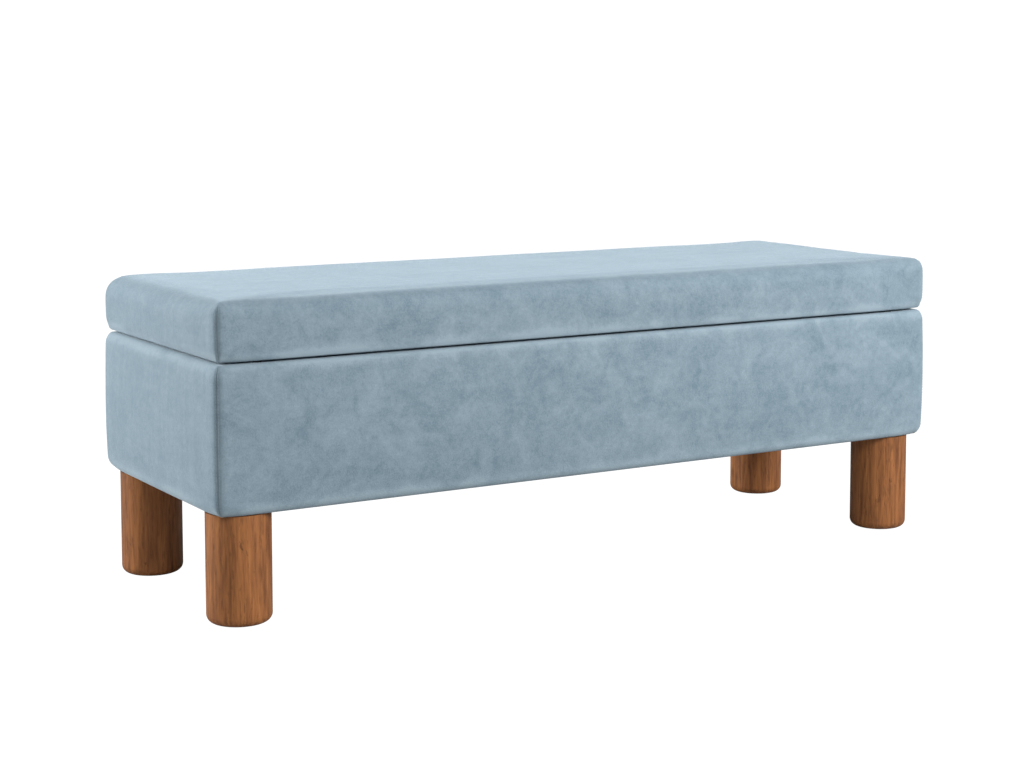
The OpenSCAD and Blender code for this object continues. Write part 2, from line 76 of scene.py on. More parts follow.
SEAM_PULL = 0.9 * MM  # how far a seam draws the velvet in around it
PUFF_MOST = 2.6 * MM  # the most that the filling may push the velvet out

SIDE_STEP = 7 * MM  # mesh step along the covers
ROUGH_STEP = 14 * MM  # mesh step of the copies that are simulated


def node_box(*nodes):
    """Lowest and highest corner of several nodes together."""
    boxes = [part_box(n) for n in nodes]
    lo = Vector([min(b[0][i] for b in boxes) for i in range(3)])
    hi = Vector([max(b[1][i] for b in boxes) for i in range(3)])
    return lo, hi


LID_LO, LID_HI = node_box("lid_cover")
BOX_LO, BOX_HI = node_box("front_cover", "rear_cover", "left_cover", "right_cover")
BOARD_HI = node_box("lid_board")[1]
WALL_HI = node_box("front_panel", "rear_panel", "left_panel", "right_panel")[1]
HALF = (LID_HI.x, LID_HI.y)


# ---------------------------------------------------------------- mesh helpers


def smoothstep(low, high, value):
    t = np.clip((value - low) / (high - low), 0.0, 1.0)
    return t * t * (3.0 - 2.0 * t)


def add_mesh(name, points, faces, smooth=True, crease=50):
    """New mesh object with smooth shading that breaks at sharp edges."""
    mesh = bpy.data.meshes.new(name)
    mesh.from_pydata([tuple(p) for p in points], [], [tuple(f) for f in faces])
    mesh.validate()
    mesh.update()
    if smooth:
        mesh.polygons.foreach_set("use_smooth", [True] * len(mesh.polygons))
        mesh.set_sharp_from_angle(angle=math.radians(crease))
    obj = bpy.data.objects.new(name, mesh)
    scene.collection.objects.link(obj)
    return obj


def point_normals(points, faces):
    """Area-weighted normal of every point."""
    normals = np.zeros_like(points)
    for size in {len(f) for f in faces if len(f) < 5}:
        some = np.array([f for f in faces if len(f) == size])
        if size == 4:
            across = points[some[:, 2]] - points[some[:, 0]]
            along = points[some[:, 3]] - points[some[:, 1]]
        else:
            across = points[some[:, 1]] - points[some[:, 0]]
            along = points[some[:, 2]] - points[some[:, 0]]
        flat = np.cross(across, along)
        for k in range(size):
            np.add.at(normals, some[:, k], flat)
    length = np.linalg.norm(normals, axis=1, keepdims=True)
    return normals / np.maximum(length, 1e-12)


def plan_lines(half, step, near_seam, shares):
    """Lines across the plan, each a straight part and a share of the corner radius."""
    straight = half - CORNER
    last = straight - near_seam[-1]
    count = max(2, round(2 * last / step))
    middle = list(np.linspace(-last, last, count + 1))
    side = [straight - s for s in reversed(near_seam[:-1])]
    places = [-s for s in reversed(side)] + middle + side
    lines = [(-straight, -c) for c in reversed(shares)]
    lines += [(p, 0.0) for p in places]
    lines += [(straight, c) for c in shares]
    return np.array(lines)


def outline_nodes(nx, ny):
    """Grid nodes once round the border, anticlockwise from the front left corner."""
    front = [(i, 0) for i in range(nx)]
    right = [(nx - 1, j) for j in range(1, ny)]
    rear = [(i, ny - 1) for i in range(nx - 2, -1, -1)]
    left = [(0, j) for j in range(ny - 2, 0, -1)]
    return np.array(front + right + rear + left)


def plan_place(lines_x, lines_y, nodes, inset, radius):
    """Plan position of grid nodes on a rounded rectangle set in from the outside."""
    mx, cx = lines_x[nodes[:, 0]].T
    my, cy = lines_y[nodes[:, 1]].T
    size = np.hypot(cx, cy)
    share = np.maximum(np.abs(cx), np.abs(cy))
    fit = np.where(size > 0, share / np.maximum(size, 1e-12), 1.0)
    x = mx * (HALF[0] - inset - radius) / (HALF[0] - CORNER) + cx * fit * radius
    y = my * (HALF[1] - inset - radius) / (HALF[1] - CORNER) + cy * fit * radius
    return np.stack([x, y], axis=1)


TIGHT_REACH = 45 * MM  # how far from a seam the lid's top edges grow to their full radius
BOW_REACH = 22 * MM  # how far from a seam its bow and the closed gap run out


def seam_edge(y):
    """Radius that the lid's top edges have at the seams, from the front to the rear."""
    rear_share = smoothstep(-0.5 * HALF[1], 0.5 * HALF[1], y)
    return FRONT_SEAM_EDGE + (REAR_SEAM_EDGE - FRONT_SEAM_EDGE) * rear_share


def outline_facts(lines_x, lines_y, nodes):
    """What each outline node needs: its way out, how it may swell and where it lies."""
    mx, cx = lines_x[nodes[:, 0]].T
    my, cy = lines_y[nodes[:, 1]].T
    straight_x, straight_y = (half - CORNER for half in HALF)
    in_corner = (np.abs(cx) > 0) & (np.abs(cy) > 0)
    on_end = (np.abs(cx) > 0.999) & ~in_corner
    out = np.column_stack([np.where(on_end, np.sign(cx), 0.0), np.where(on_end, 0.0, np.sign(cy))])
    out[in_corner] = np.column_stack([cx, cy])[in_corner]
    out /= np.linalg.norm(out, axis=1, keepdims=True)
    swell = np.where(on_end, 1 - (np.abs(my) / straight_y) ** 4, 1 - (np.abs(mx) / straight_x) ** 10)
    turn = np.abs(np.arctan2(np.abs(cx), np.abs(cy)) - math.pi / 4) * CORNER
    away = np.where(on_end, straight_y - np.abs(my), straight_x - np.abs(mx))
    away = np.where(in_corner, 0.0, away)
    off = np.where(in_corner, turn, CORNER * math.pi / 4 + away)
    return {
        "out": out,
        "swell": np.where(in_corner, 0.0, swell),
        "off": off,
        "end": out[:, 0] ** 2,
        "corner": np.exp(-((away / BOW_REACH) ** 2)),
        "tight": np.exp(-((away / TIGHT_REACH) ** 2)),
        "seam_edge": seam_edge(my + cy * CORNER),
        "middle": np.where(on_end, 0.0, 1.0) * smoothstep(6 * MM, 95 * MM, away),
    }


def ring_faces(first, second, closed=True):
    """Quads between two rings of the same length."""
    n = len(first)
    last = n if closed else n - 1
    return [(first[i], first[(i + 1) % n], second[(i + 1) % n], second[i]) for i in range(last)]


def settle(obj, pieces_body, slot_name, *nodes):
    """Rides on a body and stands for CAD nodes, which it hides; slot_name is not used."""
    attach(obj, pieces_body)
    if nodes:
        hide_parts(*nodes)


# ---------------------------------------------------------------- the covers' shapes

LOW, FACE, TOP, FLAT = "low", "face", "top", "flat"
UNDER_RINGS = (24 * MM, 17 * MM)  # insets of the rings between a turned-under edge and its cover's edge


def turn_steps(kind, start, end, count):
    """Rings round an edge, as the kind of edge and the angle turned through."""
    return [(kind, angle) for angle in np.radians(np.linspace(start, end, count))]


def face_steps(height, step, fewest):
    count = max(fewest, round(height / step))
    return [(FACE, share) for share in np.linspace(0, 1, count)[1:-1]]


def profile_place(kind, value, low, high, low_radius, top_radius):
    """Inset and level of a ring, as one number for each outline node."""
    same = np.ones_like(low_radius)
    if kind == LOW:
        return low_radius * (1 - math.sin(value)), low + low_radius * (1 - math.cos(value))
    if kind == FACE:
        return 0 * same, (low + low_radius) * (1 - value) + (high - top_radius) * value
    if kind == TOP:
        return top_radius * (1 - math.cos(value)), high - top_radius * (1 - math.sin(value))
    inset, level = value
    return inset * same, level * same


def swell_over(level, low, high):
    """Share of the swell at a level: none at the edges, most at mid height."""
    t = np.clip((level - low) / (high - low), 0, 1)
    return np.sin(math.pi * t) ** 0.8


def stand_in(inset):
    """How far a cover stands in at its face, running out round its edges."""
    return COVER_SLACK * (1.0 - np.clip(inset / EDGE, 0, 1))


def ring_points(lines, nodes, facts, place, radius, low, high, swell, lift):
    """One ring of a cover, standing in at the corners and swelling between them."""
    inset, level = place
    flat = plan_place(lines[0], lines[1], nodes, inset, radius)
    along, across = swell
    reach = along + (across - along) * facts["end"]
    reach = reach * facts["swell"] + CORNER_BOW * facts["corner"]
    push = reach * swell_over(level, low, high) - stand_in(inset)
    flat = flat + facts["out"] * push[:, None]
    return np.column_stack([flat, level + lift])


def gap_lift(facts, inset):
    """How far a cover comes towards the other one at the corners, and away along the middle."""
    at_end = facts["end"]
    closing = GAP_CLOSE * facts["corner"] * (1 - at_end) + END_CLOSE * at_end
    closing = closing - GAP_OPEN * facts["middle"]
    return closing * (1.0 - smoothstep(9 * MM, 18 * MM, inset))


def lid_shell(step, near_seam, shares):
    """Points and faces of the lid's velvet, its rings, and its distance to the seams."""
    lines = tuple(plan_lines(half, step, near_seam, shares) for half in HALF)
    nodes = outline_nodes(len(lines[0]), len(lines[1]))
    facts = outline_facts(*lines, nodes)
    low, high = LID_LO.z, LID_HI.z - LID_CROWN
    low_radius = EDGE - (EDGE - TIGHT_EDGE) * facts["middle"]
    low_radius = low_radius + END_TUCK * np.maximum(facts["end"], facts["corner"])
    top_radius = LID_EDGE + (LID_END_EDGE - LID_EDGE) * facts["end"]
    top_radius = top_radius + (facts["seam_edge"] - top_radius) * facts["tight"]
    steps = [(FLAT, (inset, low)) for inset in (LID_WRAP, LID_WRAP - 6 * MM, *UNDER_RINGS)]
    steps += turn_steps(LOW, 0, 90, 8)
    steps += face_steps(high - low - LID_EDGE - EDGE, step, 3)
    steps += turn_steps(TOP, 0, 45, 7)
    points, faces, rings = [], [], []
    for kind, value in steps:
        place = profile_place(kind, value, low, high, low_radius, top_radius)
        radius = np.maximum(CORNER - place[0], 1 * MM)
        if kind == TOP:
            plan = plan_place(*lines, nodes, place[0], radius)
            share = (value / (math.pi / 4)) ** 2
            place = (place[0], place[1] * (1 - share) + top_level(plan) * share)
        near_low = 1.0 - smoothstep(low, low + 10 * MM, place[1])
        lift = -gap_lift(facts, place[0]) * near_low
        swell = (LID_SWELL, LID_END_SWELL)
        ring = ring_points(lines, nodes, facts, place, radius, LID_LO.z, LID_HI.z, swell, lift)
        rings.append(list(range(len(points), len(points) + len(ring))))
        points.extend(ring)
        if len(rings) > 1:
            faces += ring_faces(rings[-2], rings[-1])
    off = list(facts["off"]) * len(rings)
    count_x, count_y = (len(line) for line in lines)
    inner = np.array([(i, j) for j in range(1, count_y - 1) for i in range(1, count_x - 1)])
    top, top_off = lid_top(lines, inner)
    ids = np.zeros((len(lines[0]), len(lines[1])), dtype=int)
    ids[nodes[:, 0], nodes[:, 1]] = rings[-1]
    ids[inner[:, 0], inner[:, 1]] = len(points) + np.arange(len(inner))
    points.extend(top)
    off.extend(top_off)
    for i in range(len(lines[0]) - 1):
        for j in range(len(lines[1]) - 1):
            faces.append((ids[i, j], ids[i + 1, j], ids[i + 1, j + 1], ids[i, j + 1]))
    return np.array(points), faces, rings, np.array(off)


TOP_EDGES = (LID_END_EDGE, LID_EDGE)


def top_edge(axis, x, y):
    """Radius of the lid's top edges near plan positions, changing towards the seams."""
    along = (y, x)[axis]
    away = np.maximum(HALF[1 - axis] - CORNER - np.abs(along), 0)
    return TOP_EDGES[axis] + (seam_edge(y) - TOP_EDGES[axis]) * np.exp(-((away / TIGHT_REACH) ** 2))


def edge_coming(flat):
    """For each axis, the edge's radius and how far points have come over it: 0 inside, 1 outside."""
    radii = [top_edge(k, flat[:, 0], flat[:, 1]) for k in (0, 1)]
    return radii, [np.clip(1 - (HALF[k] - np.abs(flat[:, k])) / radii[k], 0, 1) for k in (0, 1)]


def top_level(flat):
    """Level of the lid's top: edges that round over into each other, and a crowned field."""
    radii, coming = edge_coming(flat)
    over = np.minimum((coming[0] ** 5 + coming[1] ** 5) ** 0.2, 1.0)
    weight = coming[0] + coming[1] + 1e-9
    radius = (radii[0] * coming[0] + radii[1] * coming[1]) / weight
    drop = radius * (1 - np.sqrt(1 - over**2))
    tx, ty = (np.clip(np.abs(flat[:, k]) / HALF[k], 0, 1) for k in (0, 1))
    return LID_HI.z - LID_CROWN - drop + LID_CROWN * (1 - tx**6) * (1 - ty**2.6)


def lid_top(lines, inner):
    """The lid's top inside its last ring."""
    turned = 1 - math.cos(math.pi / 4)
    flat = np.zeros((len(inner), 2))
    places = [lines[axis][inner[:, axis]] for axis in (0, 1)]
    corner = [np.abs(p[:, 1]) for p in places]
    size = np.hypot(*corner)
    fit = np.where(size > 0, np.maximum(*corner) / np.maximum(size, 1e-12), 1.0)
    for axis in (0, 1):
        straight, share = places[axis].T
        radius = CORNER - top_edge(axis, places[0][:, 0], places[1][:, 0]) * turned
        flat[:, axis] = straight + share * fit * radius
    radii, coming = edge_coming(flat)
    level = top_level(flat)
    for axis, swell in enumerate((LID_END_SWELL, LID_SWELL)):
        other = 1 - axis
        along = np.abs(flat[:, other]) / (HALF[other] - CORNER)
        power = 4 if axis == 0 else 10
        share = np.clip(1 - along**power, 0, 1)
        ring_level = LID_HI.z - LID_CROWN - radii[axis] * turned
        away = np.maximum(HALF[other] - CORNER - np.abs(flat[:, other]), 0)
        bow = CORNER_BOW * np.exp(-((away / BOW_REACH) ** 2))
        push = (swell * share + bow) * swell_over(ring_level, LID_LO.z, LID_HI.z)
        push = push - stand_in(radii[axis] * turned)
        flat[:, axis] += np.sign(flat[:, axis]) * push * np.clip(coming[axis] / (1 - turned), 0, 1) ** 1.5
    in_corner = (corner[0] > 0) & (corner[1] > 0)
    beside = np.where(in_corner, np.abs(corner[0] - corner[1]) * 0.5 * CORNER, 1.0)
    return np.column_stack([flat, level]), beside


def box_shell(step, near_seam, shares):
    """Rings of the box's covers, closing round the wall's section, and how many face out."""
    lines = tuple(plan_lines(half, step, near_seam, shares) for half in HALF)
    nodes = outline_nodes(len(lines[0]), len(lines[1]))
    facts = outline_facts(*lines, nodes)
    low, high = BOX_LO.z, BOX_HI.z
    low_radius = EDGE + CORNER_TUCK * facts["corner"]
    top_radius = EDGE - (EDGE - TIGHT_EDGE) * facts["middle"]
    top_radius = top_radius + 0.5 * END_TUCK * np.maximum(facts["end"], facts["corner"])
    steps = [(FLAT, (inset, low)) for inset in (VELVET_WRAP, *UNDER_RINGS)]
    steps += turn_steps(LOW, 0, 90, 8)
    steps += face_steps(high - low - 2 * EDGE, step, 4)
    steps += turn_steps(TOP, 0, 90, 8)
    steps += [(FLAT, (inset, high)) for inset in (*UNDER_RINGS[::-1], VELVET_WRAP)]
    rings = []
    for kind, value in steps:
        place = profile_place(kind, value, low, high, low_radius, top_radius)
        radius = np.maximum(CORNER - place[0], 1 * MM)
        lift = gap_lift(facts, place[0]) * smoothstep(high - 10 * MM, high, place[1])
        swell = (BOX_SWELL, BOX_SWELL)
        rings.append(ring_points(lines, nodes, facts, place, radius, low, high, swell, lift))
    outer = len(rings)
    wood_in = HALF[0] - WALL_HI.x
    inner = [(VELVET_WRAP, high - VELVET), (wood_in, high - VELVET)]
    inner += [(wood_in, low + VELVET), (VELVET_WRAP, low + VELVET)]
    for inset, level in inner:
        flat = plan_place(*lines, nodes, inset, 1 * MM)
        rings.append(np.column_stack([flat, np.full(len(flat), level)]))
    return lines, nodes, facts, rings, outer


# ---------------------------------------------------------------- filling pushed into the covers


def puffed(points, faces, held, pressure):
    """Move of each point when the filling pushes a cover out that is held along its edges."""
    obj = add_mesh("cover_under_pressure", points, faces)
    group = obj.vertex_groups.new(name="held")
    group.add([int(i) for i in held], 1.0, "REPLACE")
    cloth = obj.modifiers.new("cover", "CLOTH")
    settings = cloth.settings
    settings.vertex_group_mass = "held"
    settings.use_pressure = True
    settings.uniform_pressure_force = pressure
    settings.tension_stiffness = 40
    settings.compression_stiffness = 40
    settings.shear_stiffness = 20
    settings.bending_stiffness = 4
    settings.mass = 0.4
    settings.quality = 6
    settings.effector_weights.gravity = 0
    cloth.point_cache.frame_start = 1
    cloth.point_cache.frame_end = 20
    for number in range(1, 21):
        scene.frame_set(number)
    graph = bpy.context.evaluated_depsgraph_get()
    result = obj.evaluated_get(graph).to_mesh()
    moved = np.empty(len(result.vertices) * 3)
    result.vertices.foreach_get("co", moved)
    bpy.data.objects.remove(obj, do_unlink=True)
    scene.frame_set(1)
    move = moved.reshape(-1, 3) - points
    far = np.linalg.norm(move, axis=1, keepdims=True)
    return move * np.minimum(1.0, PUFF_MOST / np.maximum(far, 1e-9))


def carried(points, rough_points, rough_move, reach=6):
    """The rough cover's moves, carried over to a finer mesh."""
    tree = KDTree(len(rough_points))
    for i, p in enumerate(rough_points):
        tree.insert(p, i)
    tree.balance()
    move = np.zeros_like(points)
    for k, p in enumerate(points):
        found = tree.find_n(p, reach)
        weights = np.array([1.0 / (d + 3 * MM) ** 2 for _, _, d in found])
        near = rough_move[[i for _, i, _ in found]]
        move[k] = (near * weights[:, None]).sum(axis=0) / weights.sum()
    return move


def seam_dent(off):
    """Depth of the sewn groove and of the soft pull around it."""
    groove = SEAM_DEPTH * np.exp(-((off / (0.8 * MM)) ** 2))
    pull = SEAM_PULL * np.exp(-((off / (9 * MM)) ** 2))
    allowance = -0.35 * MM * np.exp(-(((off - 4.5 * MM) / (1.8 * MM)) ** 2))
    return groove + pull + allowance


def soft_unevenness(points, size, depth, seed):
    """Slow unevenness of foam under cloth."""
    shift = Vector((seed, -seed, 0.5 * seed))
    values = [noise.noise(Vector(p) / size + shift) for p in points]
    return depth * np.array(values)


SEAM_LINES = [0.0, 2.5 * MM, 5.5 * MM, 9 * MM, 14 * MM]
CORNER_SHARES = [0.15, 0.32, 0.5, 0.67, 0.79, 0.87, 0.935, 1.0]
ROUGH_SHARES = [0.45, 1.0]
ROUGH_SEAM = [0.0, 10 * MM]


def lid_velvet():
    """The lid's padded cover: velvet over wadding and foam, wrapped under the board."""
    points, faces, rings, off = lid_shell(SIDE_STEP, SEAM_LINES, CORNER_SHARES)
    rough, rough_faces, rough_rings, _ = lid_shell(ROUGH_STEP, ROUGH_SEAM, ROUGH_SHARES)
    under = [i for ring in rough_rings[:8] for i in ring]
    move = puffed(rough, rough_faces + [tuple(reversed(rough_rings[0]))], under, 3.5)
    points = points + carried(points, rough, move)
    normals = point_normals(points, faces)
    face_mask = smoothstep(LID_LO.z + 1 * MM, LID_LO.z + 6 * MM, points[:, 2])
    depth_in = np.minimum(HALF[0] - np.abs(points[:, 0]), HALF[1] - np.abs(points[:, 1]))
    top_fade = 1.0 - smoothstep(8 * MM, 17 * MM, depth_in)
    dent = seam_dent(off) * face_mask * top_fade
    uneven = soft_unevenness(points, 0.16, 0.5 * MM, 3.1) + soft_unevenness(points, 0.055, 0.16 * MM, 9.4)
    uneven = uneven * smoothstep(LID_LO.z + 14 * MM, LID_LO.z + 24 * MM, points[:, 2])
    points = points + normals * (uneven - dent)[:, None]
    points[:, 2] = np.minimum(points[:, 2], LID_HI.z + 1 * MM)
    points, faces = lined_underside(points, faces, rings)
    obj = add_mesh("lid_velvet", points, faces)
    settle(obj, "lid", "velvet", "lid_cover", "lid_wadding", "lid_foam")
    return obj


def lined_underside(points, faces, rings):
    """Closes the cover round the board: velvet thickness, board pocket and its ceiling."""
    first = points[rings[0]]
    wood_in = HALF[0] - BOARD_HI.x - 0.1 * MM
    ring_count = len(first)
    pocket_plan = first[:, :2].copy()
    wrap_level = np.full(ring_count, LID_LO.z + VELVET)
    sides = pocket_plan.copy()
    for axis in (0, 1):
        limit = HALF[axis] - LID_WRAP
        scale = (HALF[axis] - wood_in) / limit
        sides[:, axis] = sides[:, axis] * scale
    added = [np.column_stack([pocket_plan, wrap_level])]
    added.append(np.column_stack([sides, wrap_level]))
    added.append(np.column_stack([sides, np.full(ring_count, BOARD_HI.z + 0.1 * MM)]))
    chain = [rings[0]]
    start = len(points)
    for k in range(len(added)):
        chain.append(list(range(start + k * ring_count, start + (k + 1) * ring_count)))
    for k in range(len(added)):
        faces = faces + ring_faces(chain[k + 1], chain[k])
    faces = faces + [tuple(chain[-1])]
    return np.vstack([points] + added), faces


PANELS = {
    "front_velvet": ("front_cover", "front_padding"),
    "right_velvet": ("right_cover", "right_padding"),
    "rear_velvet": ("rear_cover", "rear_padding"),
    "left_velvet": ("left_cover", "left_padding"),
}


def panel_spans(lines, nodes):
    """Outline nodes of each sewn panel, from seam to seam."""
    count = len(nodes)
    front_right = len(lines[0]) - 1
    rear_right = front_right + len(lines[1]) - 1
    rear_left = rear_right + front_right
    spans = {
        "front_velvet": (0, front_right),
        "right_velvet": (front_right, rear_right),
        "rear_velvet": (rear_right, rear_left),
        "left_velvet": (rear_left, count),
    }
    return {name: [i % count for i in range(a, b + 1)] for name, (a, b) in spans.items()}


def box_puff(points_by_ring):
    """Moves of the box's covers under their padding, from a rougher copy."""
    _, nodes, facts, rings, _ = box_shell(ROUGH_STEP, ROUGH_SEAM, ROUGH_SHARES)
    count = len(nodes)
    rough = np.vstack(rings)
    faces = []
    chain = [list(range(k * count, (k + 1) * count)) for k in range(len(rings))]
    for k in range(len(rings)):
        faces += ring_faces(chain[k], chain[(k + 1) % len(rings)])
    on_face = [k for k, r in enumerate(rings) if BOX_LO.z + EDGE <= r[:, 2].mean() <= BOX_HI.z - EDGE]
    free = set(range(on_face[0], on_face[-1] + 1))
    at_seam = np.abs(facts["off"]) < 1e-6
    held = [chain[k][i] for k in range(len(rings)) for i in range(count) if k not in free or at_seam[i]]
    move = puffed(rough, faces, held, 3.0)
    stacked = np.vstack(points_by_ring)
    return carried(stacked, rough, move).reshape(len(points_by_ring), -1, 3)


def box_velvets():
    """Front, rear and end covers, each a padded panel that ends in its seams."""
    lines, nodes, facts, rings, outer = box_shell(SIDE_STEP, SEAM_LINES, CORNER_SHARES)
    moves = box_puff(rings)
    rings = [r + moves[k] if k < outer else r for k, r in enumerate(rings)]
    count = len(nodes)
    chain = [list(range(k * count, (k + 1) * count)) for k in range(len(rings))]
    faces = []
    for k in range(len(rings)):
        faces += ring_faces(chain[k], chain[(k + 1) % len(rings)])
    points = np.vstack(rings)
    normals = point_normals(points, faces)
    off = np.tile(facts["off"], len(rings))
    is_outer = np.arange(len(points)) < outer * count
    depth = np.minimum(HALF[0] - np.abs(points[:, 0]), HALF[1] - np.abs(points[:, 1]))
    mask = is_outer * (1.0 - smoothstep(8 * MM, 14 * MM, depth))
    uneven = soft_unevenness(points, 0.13, 0.45 * MM, 5.7) + soft_unevenness(points, 0.05, 0.15 * MM, 1.3)
    level_mask = smoothstep(BOX_LO.z + 8 * MM, BOX_LO.z + 20 * MM, points[:, 2])
    level_mask = level_mask * (1 - smoothstep(BOX_HI.z - 20 * MM, BOX_HI.z - 8 * MM, points[:, 2]))
    points = points - normals * (seam_dent(off) * mask)[:, None]
    points = points + normals * (uneven * is_outer * level_mask)[:, None]
    made = []
    for name, span in panel_spans(lines, nodes).items():
        made.append(box_panel(name, points.reshape(len(rings), count, 3), span))
    return made


def box_panel(name, grid, span):
    """One panel of the box's velvet, closed at its seams."""
    part = grid[:, span, :].copy()
    rings, count = part.shape[:2]
    for end, beside in ((0, 1), (-1, -2)):
        toward = part[:, beside, :] - part[:, end, :]
        length = np.maximum(np.linalg.norm(toward, axis=1, keepdims=True), 1e-9)
        part[:, end, :] += toward / length * np.minimum(0.05 * MM, 0.4 * length)
    faces = []
    chain = [list(range(k * count, (k + 1) * count)) for k in range(rings)]
    for k in range(rings):
        faces += ring_faces(chain[k], chain[(k + 1) % rings], closed=False)
    faces.append(tuple(chain[k][0] for k in range(rings)))
    faces.append(tuple(chain[k][-1] for k in reversed(range(rings))))
    obj = add_mesh(name, part.reshape(-1, 3), faces)
    settle(obj, "box", "velvet", *PANELS[name])
    return obj


# ---------------------------------------------------------------- stitching

STITCH_PITCH = 4.4 * MM
STITCH_LENGTH = 3.3 * MM
THREAD = 0.36 * MM
STITCH_OFF = 2.3 * MM


def stitch_points(start, end, outward):
    """Rings of one stitch, a short thread that dips in at both ends."""
    along = end - start
    side = along.cross(outward).normalized()
    rings = []
    for t in (0.0, 0.12, 0.35, 0.65, 0.88, 1.0):
        rise = 0.6 * THREAD * math.sin(math.pi * t) - 0.3 * THREAD
        fat = THREAD * (0.45 + 0.55 * math.sin(math.pi * t))
        centre = start + along * t + outward * rise
        ring = []
        for k in range(6):
            turn = 2 * math.pi * k / 6
            ring.append(centre + side * math.cos(turn) * fat + outward * math.sin(turn) * fat)
        rings.append(ring)
    return rings


def seam_stitches(name, body, covers, low, high):
    """Two rows of stitches, one on each side of each of the four upright seams."""
    trees = [cover_tree(cover) for cover in covers]
    points, faces = [], []
    for side_x in (-1, 1):
        for side_y in (-1, 1):
            for row in (-STITCH_OFF / CORNER, STITCH_OFF / CORNER):
                turn = math.pi / 4 + row
                outward = Vector((side_x * math.cos(turn), side_y * math.sin(turn), 0))
                centre = Vector((side_x * (HALF[0] - CORNER), side_y * (HALF[1] - CORNER), 0))
                level = low
                while level + STITCH_LENGTH < high:
                    ends = [surface_hit(trees, centre, outward, z) for z in (level, level + STITCH_LENGTH)]
                    level += STITCH_PITCH
                    if None not in ends:
                        add_stitch(points, faces, stitch_points(ends[0], ends[1], outward))
    obj = add_mesh(name, points, faces)
    settle(obj, body, "velvet")
    return obj


def cover_tree(cover):
    corners = [v.co for v in cover.data.vertices]
    return BVHTree.FromPolygons(corners, [p.vertices[:] for p in cover.data.polygons])


def surface_hit(trees, centre, outward, level):
    """Where a level line from outside meets the covers on its way to a corner's centre."""
    start = Vector((centre.x, centre.y, level)) + outward * 0.08
    hits = [tree.ray_cast(start, -outward) for tree in trees]
    hits = [(hit[3], hit[0]) for hit in hits if hit[0] is not None]
    return min(hits, key=lambda hit: hit[0])[1] if hits else None


def add_stitch(points, faces, rings):
    start = len(points)
    sides = len(rings[0])
    for ring in rings:
        points.extend(ring)
    for k in range(len(rings) - 1):
        first = [start + k * sides + i for i in range(sides)]
        second = [i + sides for i in first]
        faces += ring_faces(first, second)
    faces.append(tuple(reversed(range(start, start + sides))))
    last = start + (len(rings) - 1) * sides
    faces.append(tuple(range(last, last + sides)))


# ---------------------------------------------------------------- linings and other cloth


def spaced(low, high, step, extra=()):
    """Even places from low to high, with some places of their own added."""
    count = max(1, round((high - low) / step))
    places = list(np.linspace(low, high, count + 1)) + [e for e in extra if low < e < high]
    places = sorted(places)
    return [p for i, p in enumerate(places) if i == 0 or p - places[i - 1] > 0.4 * MM]


def cloth_slab(name, us, vs, place, keep=None):
    """Closed sheet with a back and a front grid; place(u, v, side) gives a point."""
    nu, nv = len(us), len(vs)
    cells = [(i, j) for i in range(nu - 1) for j in range(nv - 1)]
    if keep is not None:
        cells = [(i, j) for i, j in cells if keep((us[i] + us[i + 1]) / 2, (vs[j] + vs[j + 1]) / 2)]
    points, ids = [], {}

    def point(i, j, side):
        if (i, j, side) not in ids:
            ids[i, j, side] = len(points)
            points.append(place(us[i], vs[j], side))
        return ids[i, j, side]

    faces, edges = [], {}
    for i, j in cells:
        loop = [(i, j), (i + 1, j), (i + 1, j + 1), (i, j + 1)]
        faces.append([point(a, b, 1) for a, b in loop])
        faces.append([point(a, b, 0) for a, b in reversed(loop)])
        for k in range(4):
            edges[loop[k], loop[(k + 1) % 4]] = True
    for a, b in edges:
        if (b, a) not in edges:
            faces.append([point(*a, 0), point(*b, 0), point(*b, 1), point(*a, 1)])
    return add_mesh(name, points, faces, crease=60)


def edge_nearness(u, v, us, vs, reach):
    """0 at the border of a cloth, 1 further in than reach."""
    d = min(u - us[0], us[-1] - u, v - vs[0], vs[-1] - v)
    return float(smoothstep(0, reach, d))


def ripple(u, v, seed, size, depth):
    return depth * noise.noise(Vector((u / size, v / size, seed)))


def wall_lining(name, axis, side, clear_of=()):
    """Lining of one wall inside the box, a little slack between its fixed edges."""
    lo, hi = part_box(name)
    across = 1 if axis == 0 else 0
    us = spaced(lo[axis], hi[axis], 9 * MM)
    vs = spaced(lo.z, hi.z, 9 * MM, extra=(hi.z - 2 * MM, hi.z - 5 * MM, lo.z + 3 * MM))
    back = lo[across] if side < 0 else hi[across]
    front = hi[across] if side < 0 else lo[across]
    inward = 1 if front > back else -1

    def place(u, v, face):
        free = edge_nearness(u, v, us, vs, 30 * MM)
        for cu, cv, reach in clear_of:
            free *= float(smoothstep(reach, 2 * reach, math.hypot(u - cu, v - cv)))
        swell = free * (0.5 * MM + ripple(u, v, 2.0 + side + axis, 0.11, 0.7 * MM))
        fold = 0.25 * MM * math.exp(-(((hi.z - v - 4 * MM) / (1.5 * MM)) ** 2))
        depth = (front + inward * (swell + fold)) if face else back
        p = [0.0, 0.0, v]
        p[axis] = u
        p[across] = depth
        return p

    obj = cloth_slab(name + "_cloth", us, vs, place)
    face_outward(obj)
    settle(obj, "box", "lining", name)
    return obj


def face_outward(obj):
    """Turns a closed mesh's faces outward."""
    work = bmesh.new()
    work.from_mesh(obj.data)
    bmesh.ops.recalc_face_normals(work, faces=work.faces[:])
    work.to_mesh(obj.data)
    work.free()


CLOTH_STEP = 10 * MM  # spacing of the points of the large flat cloths


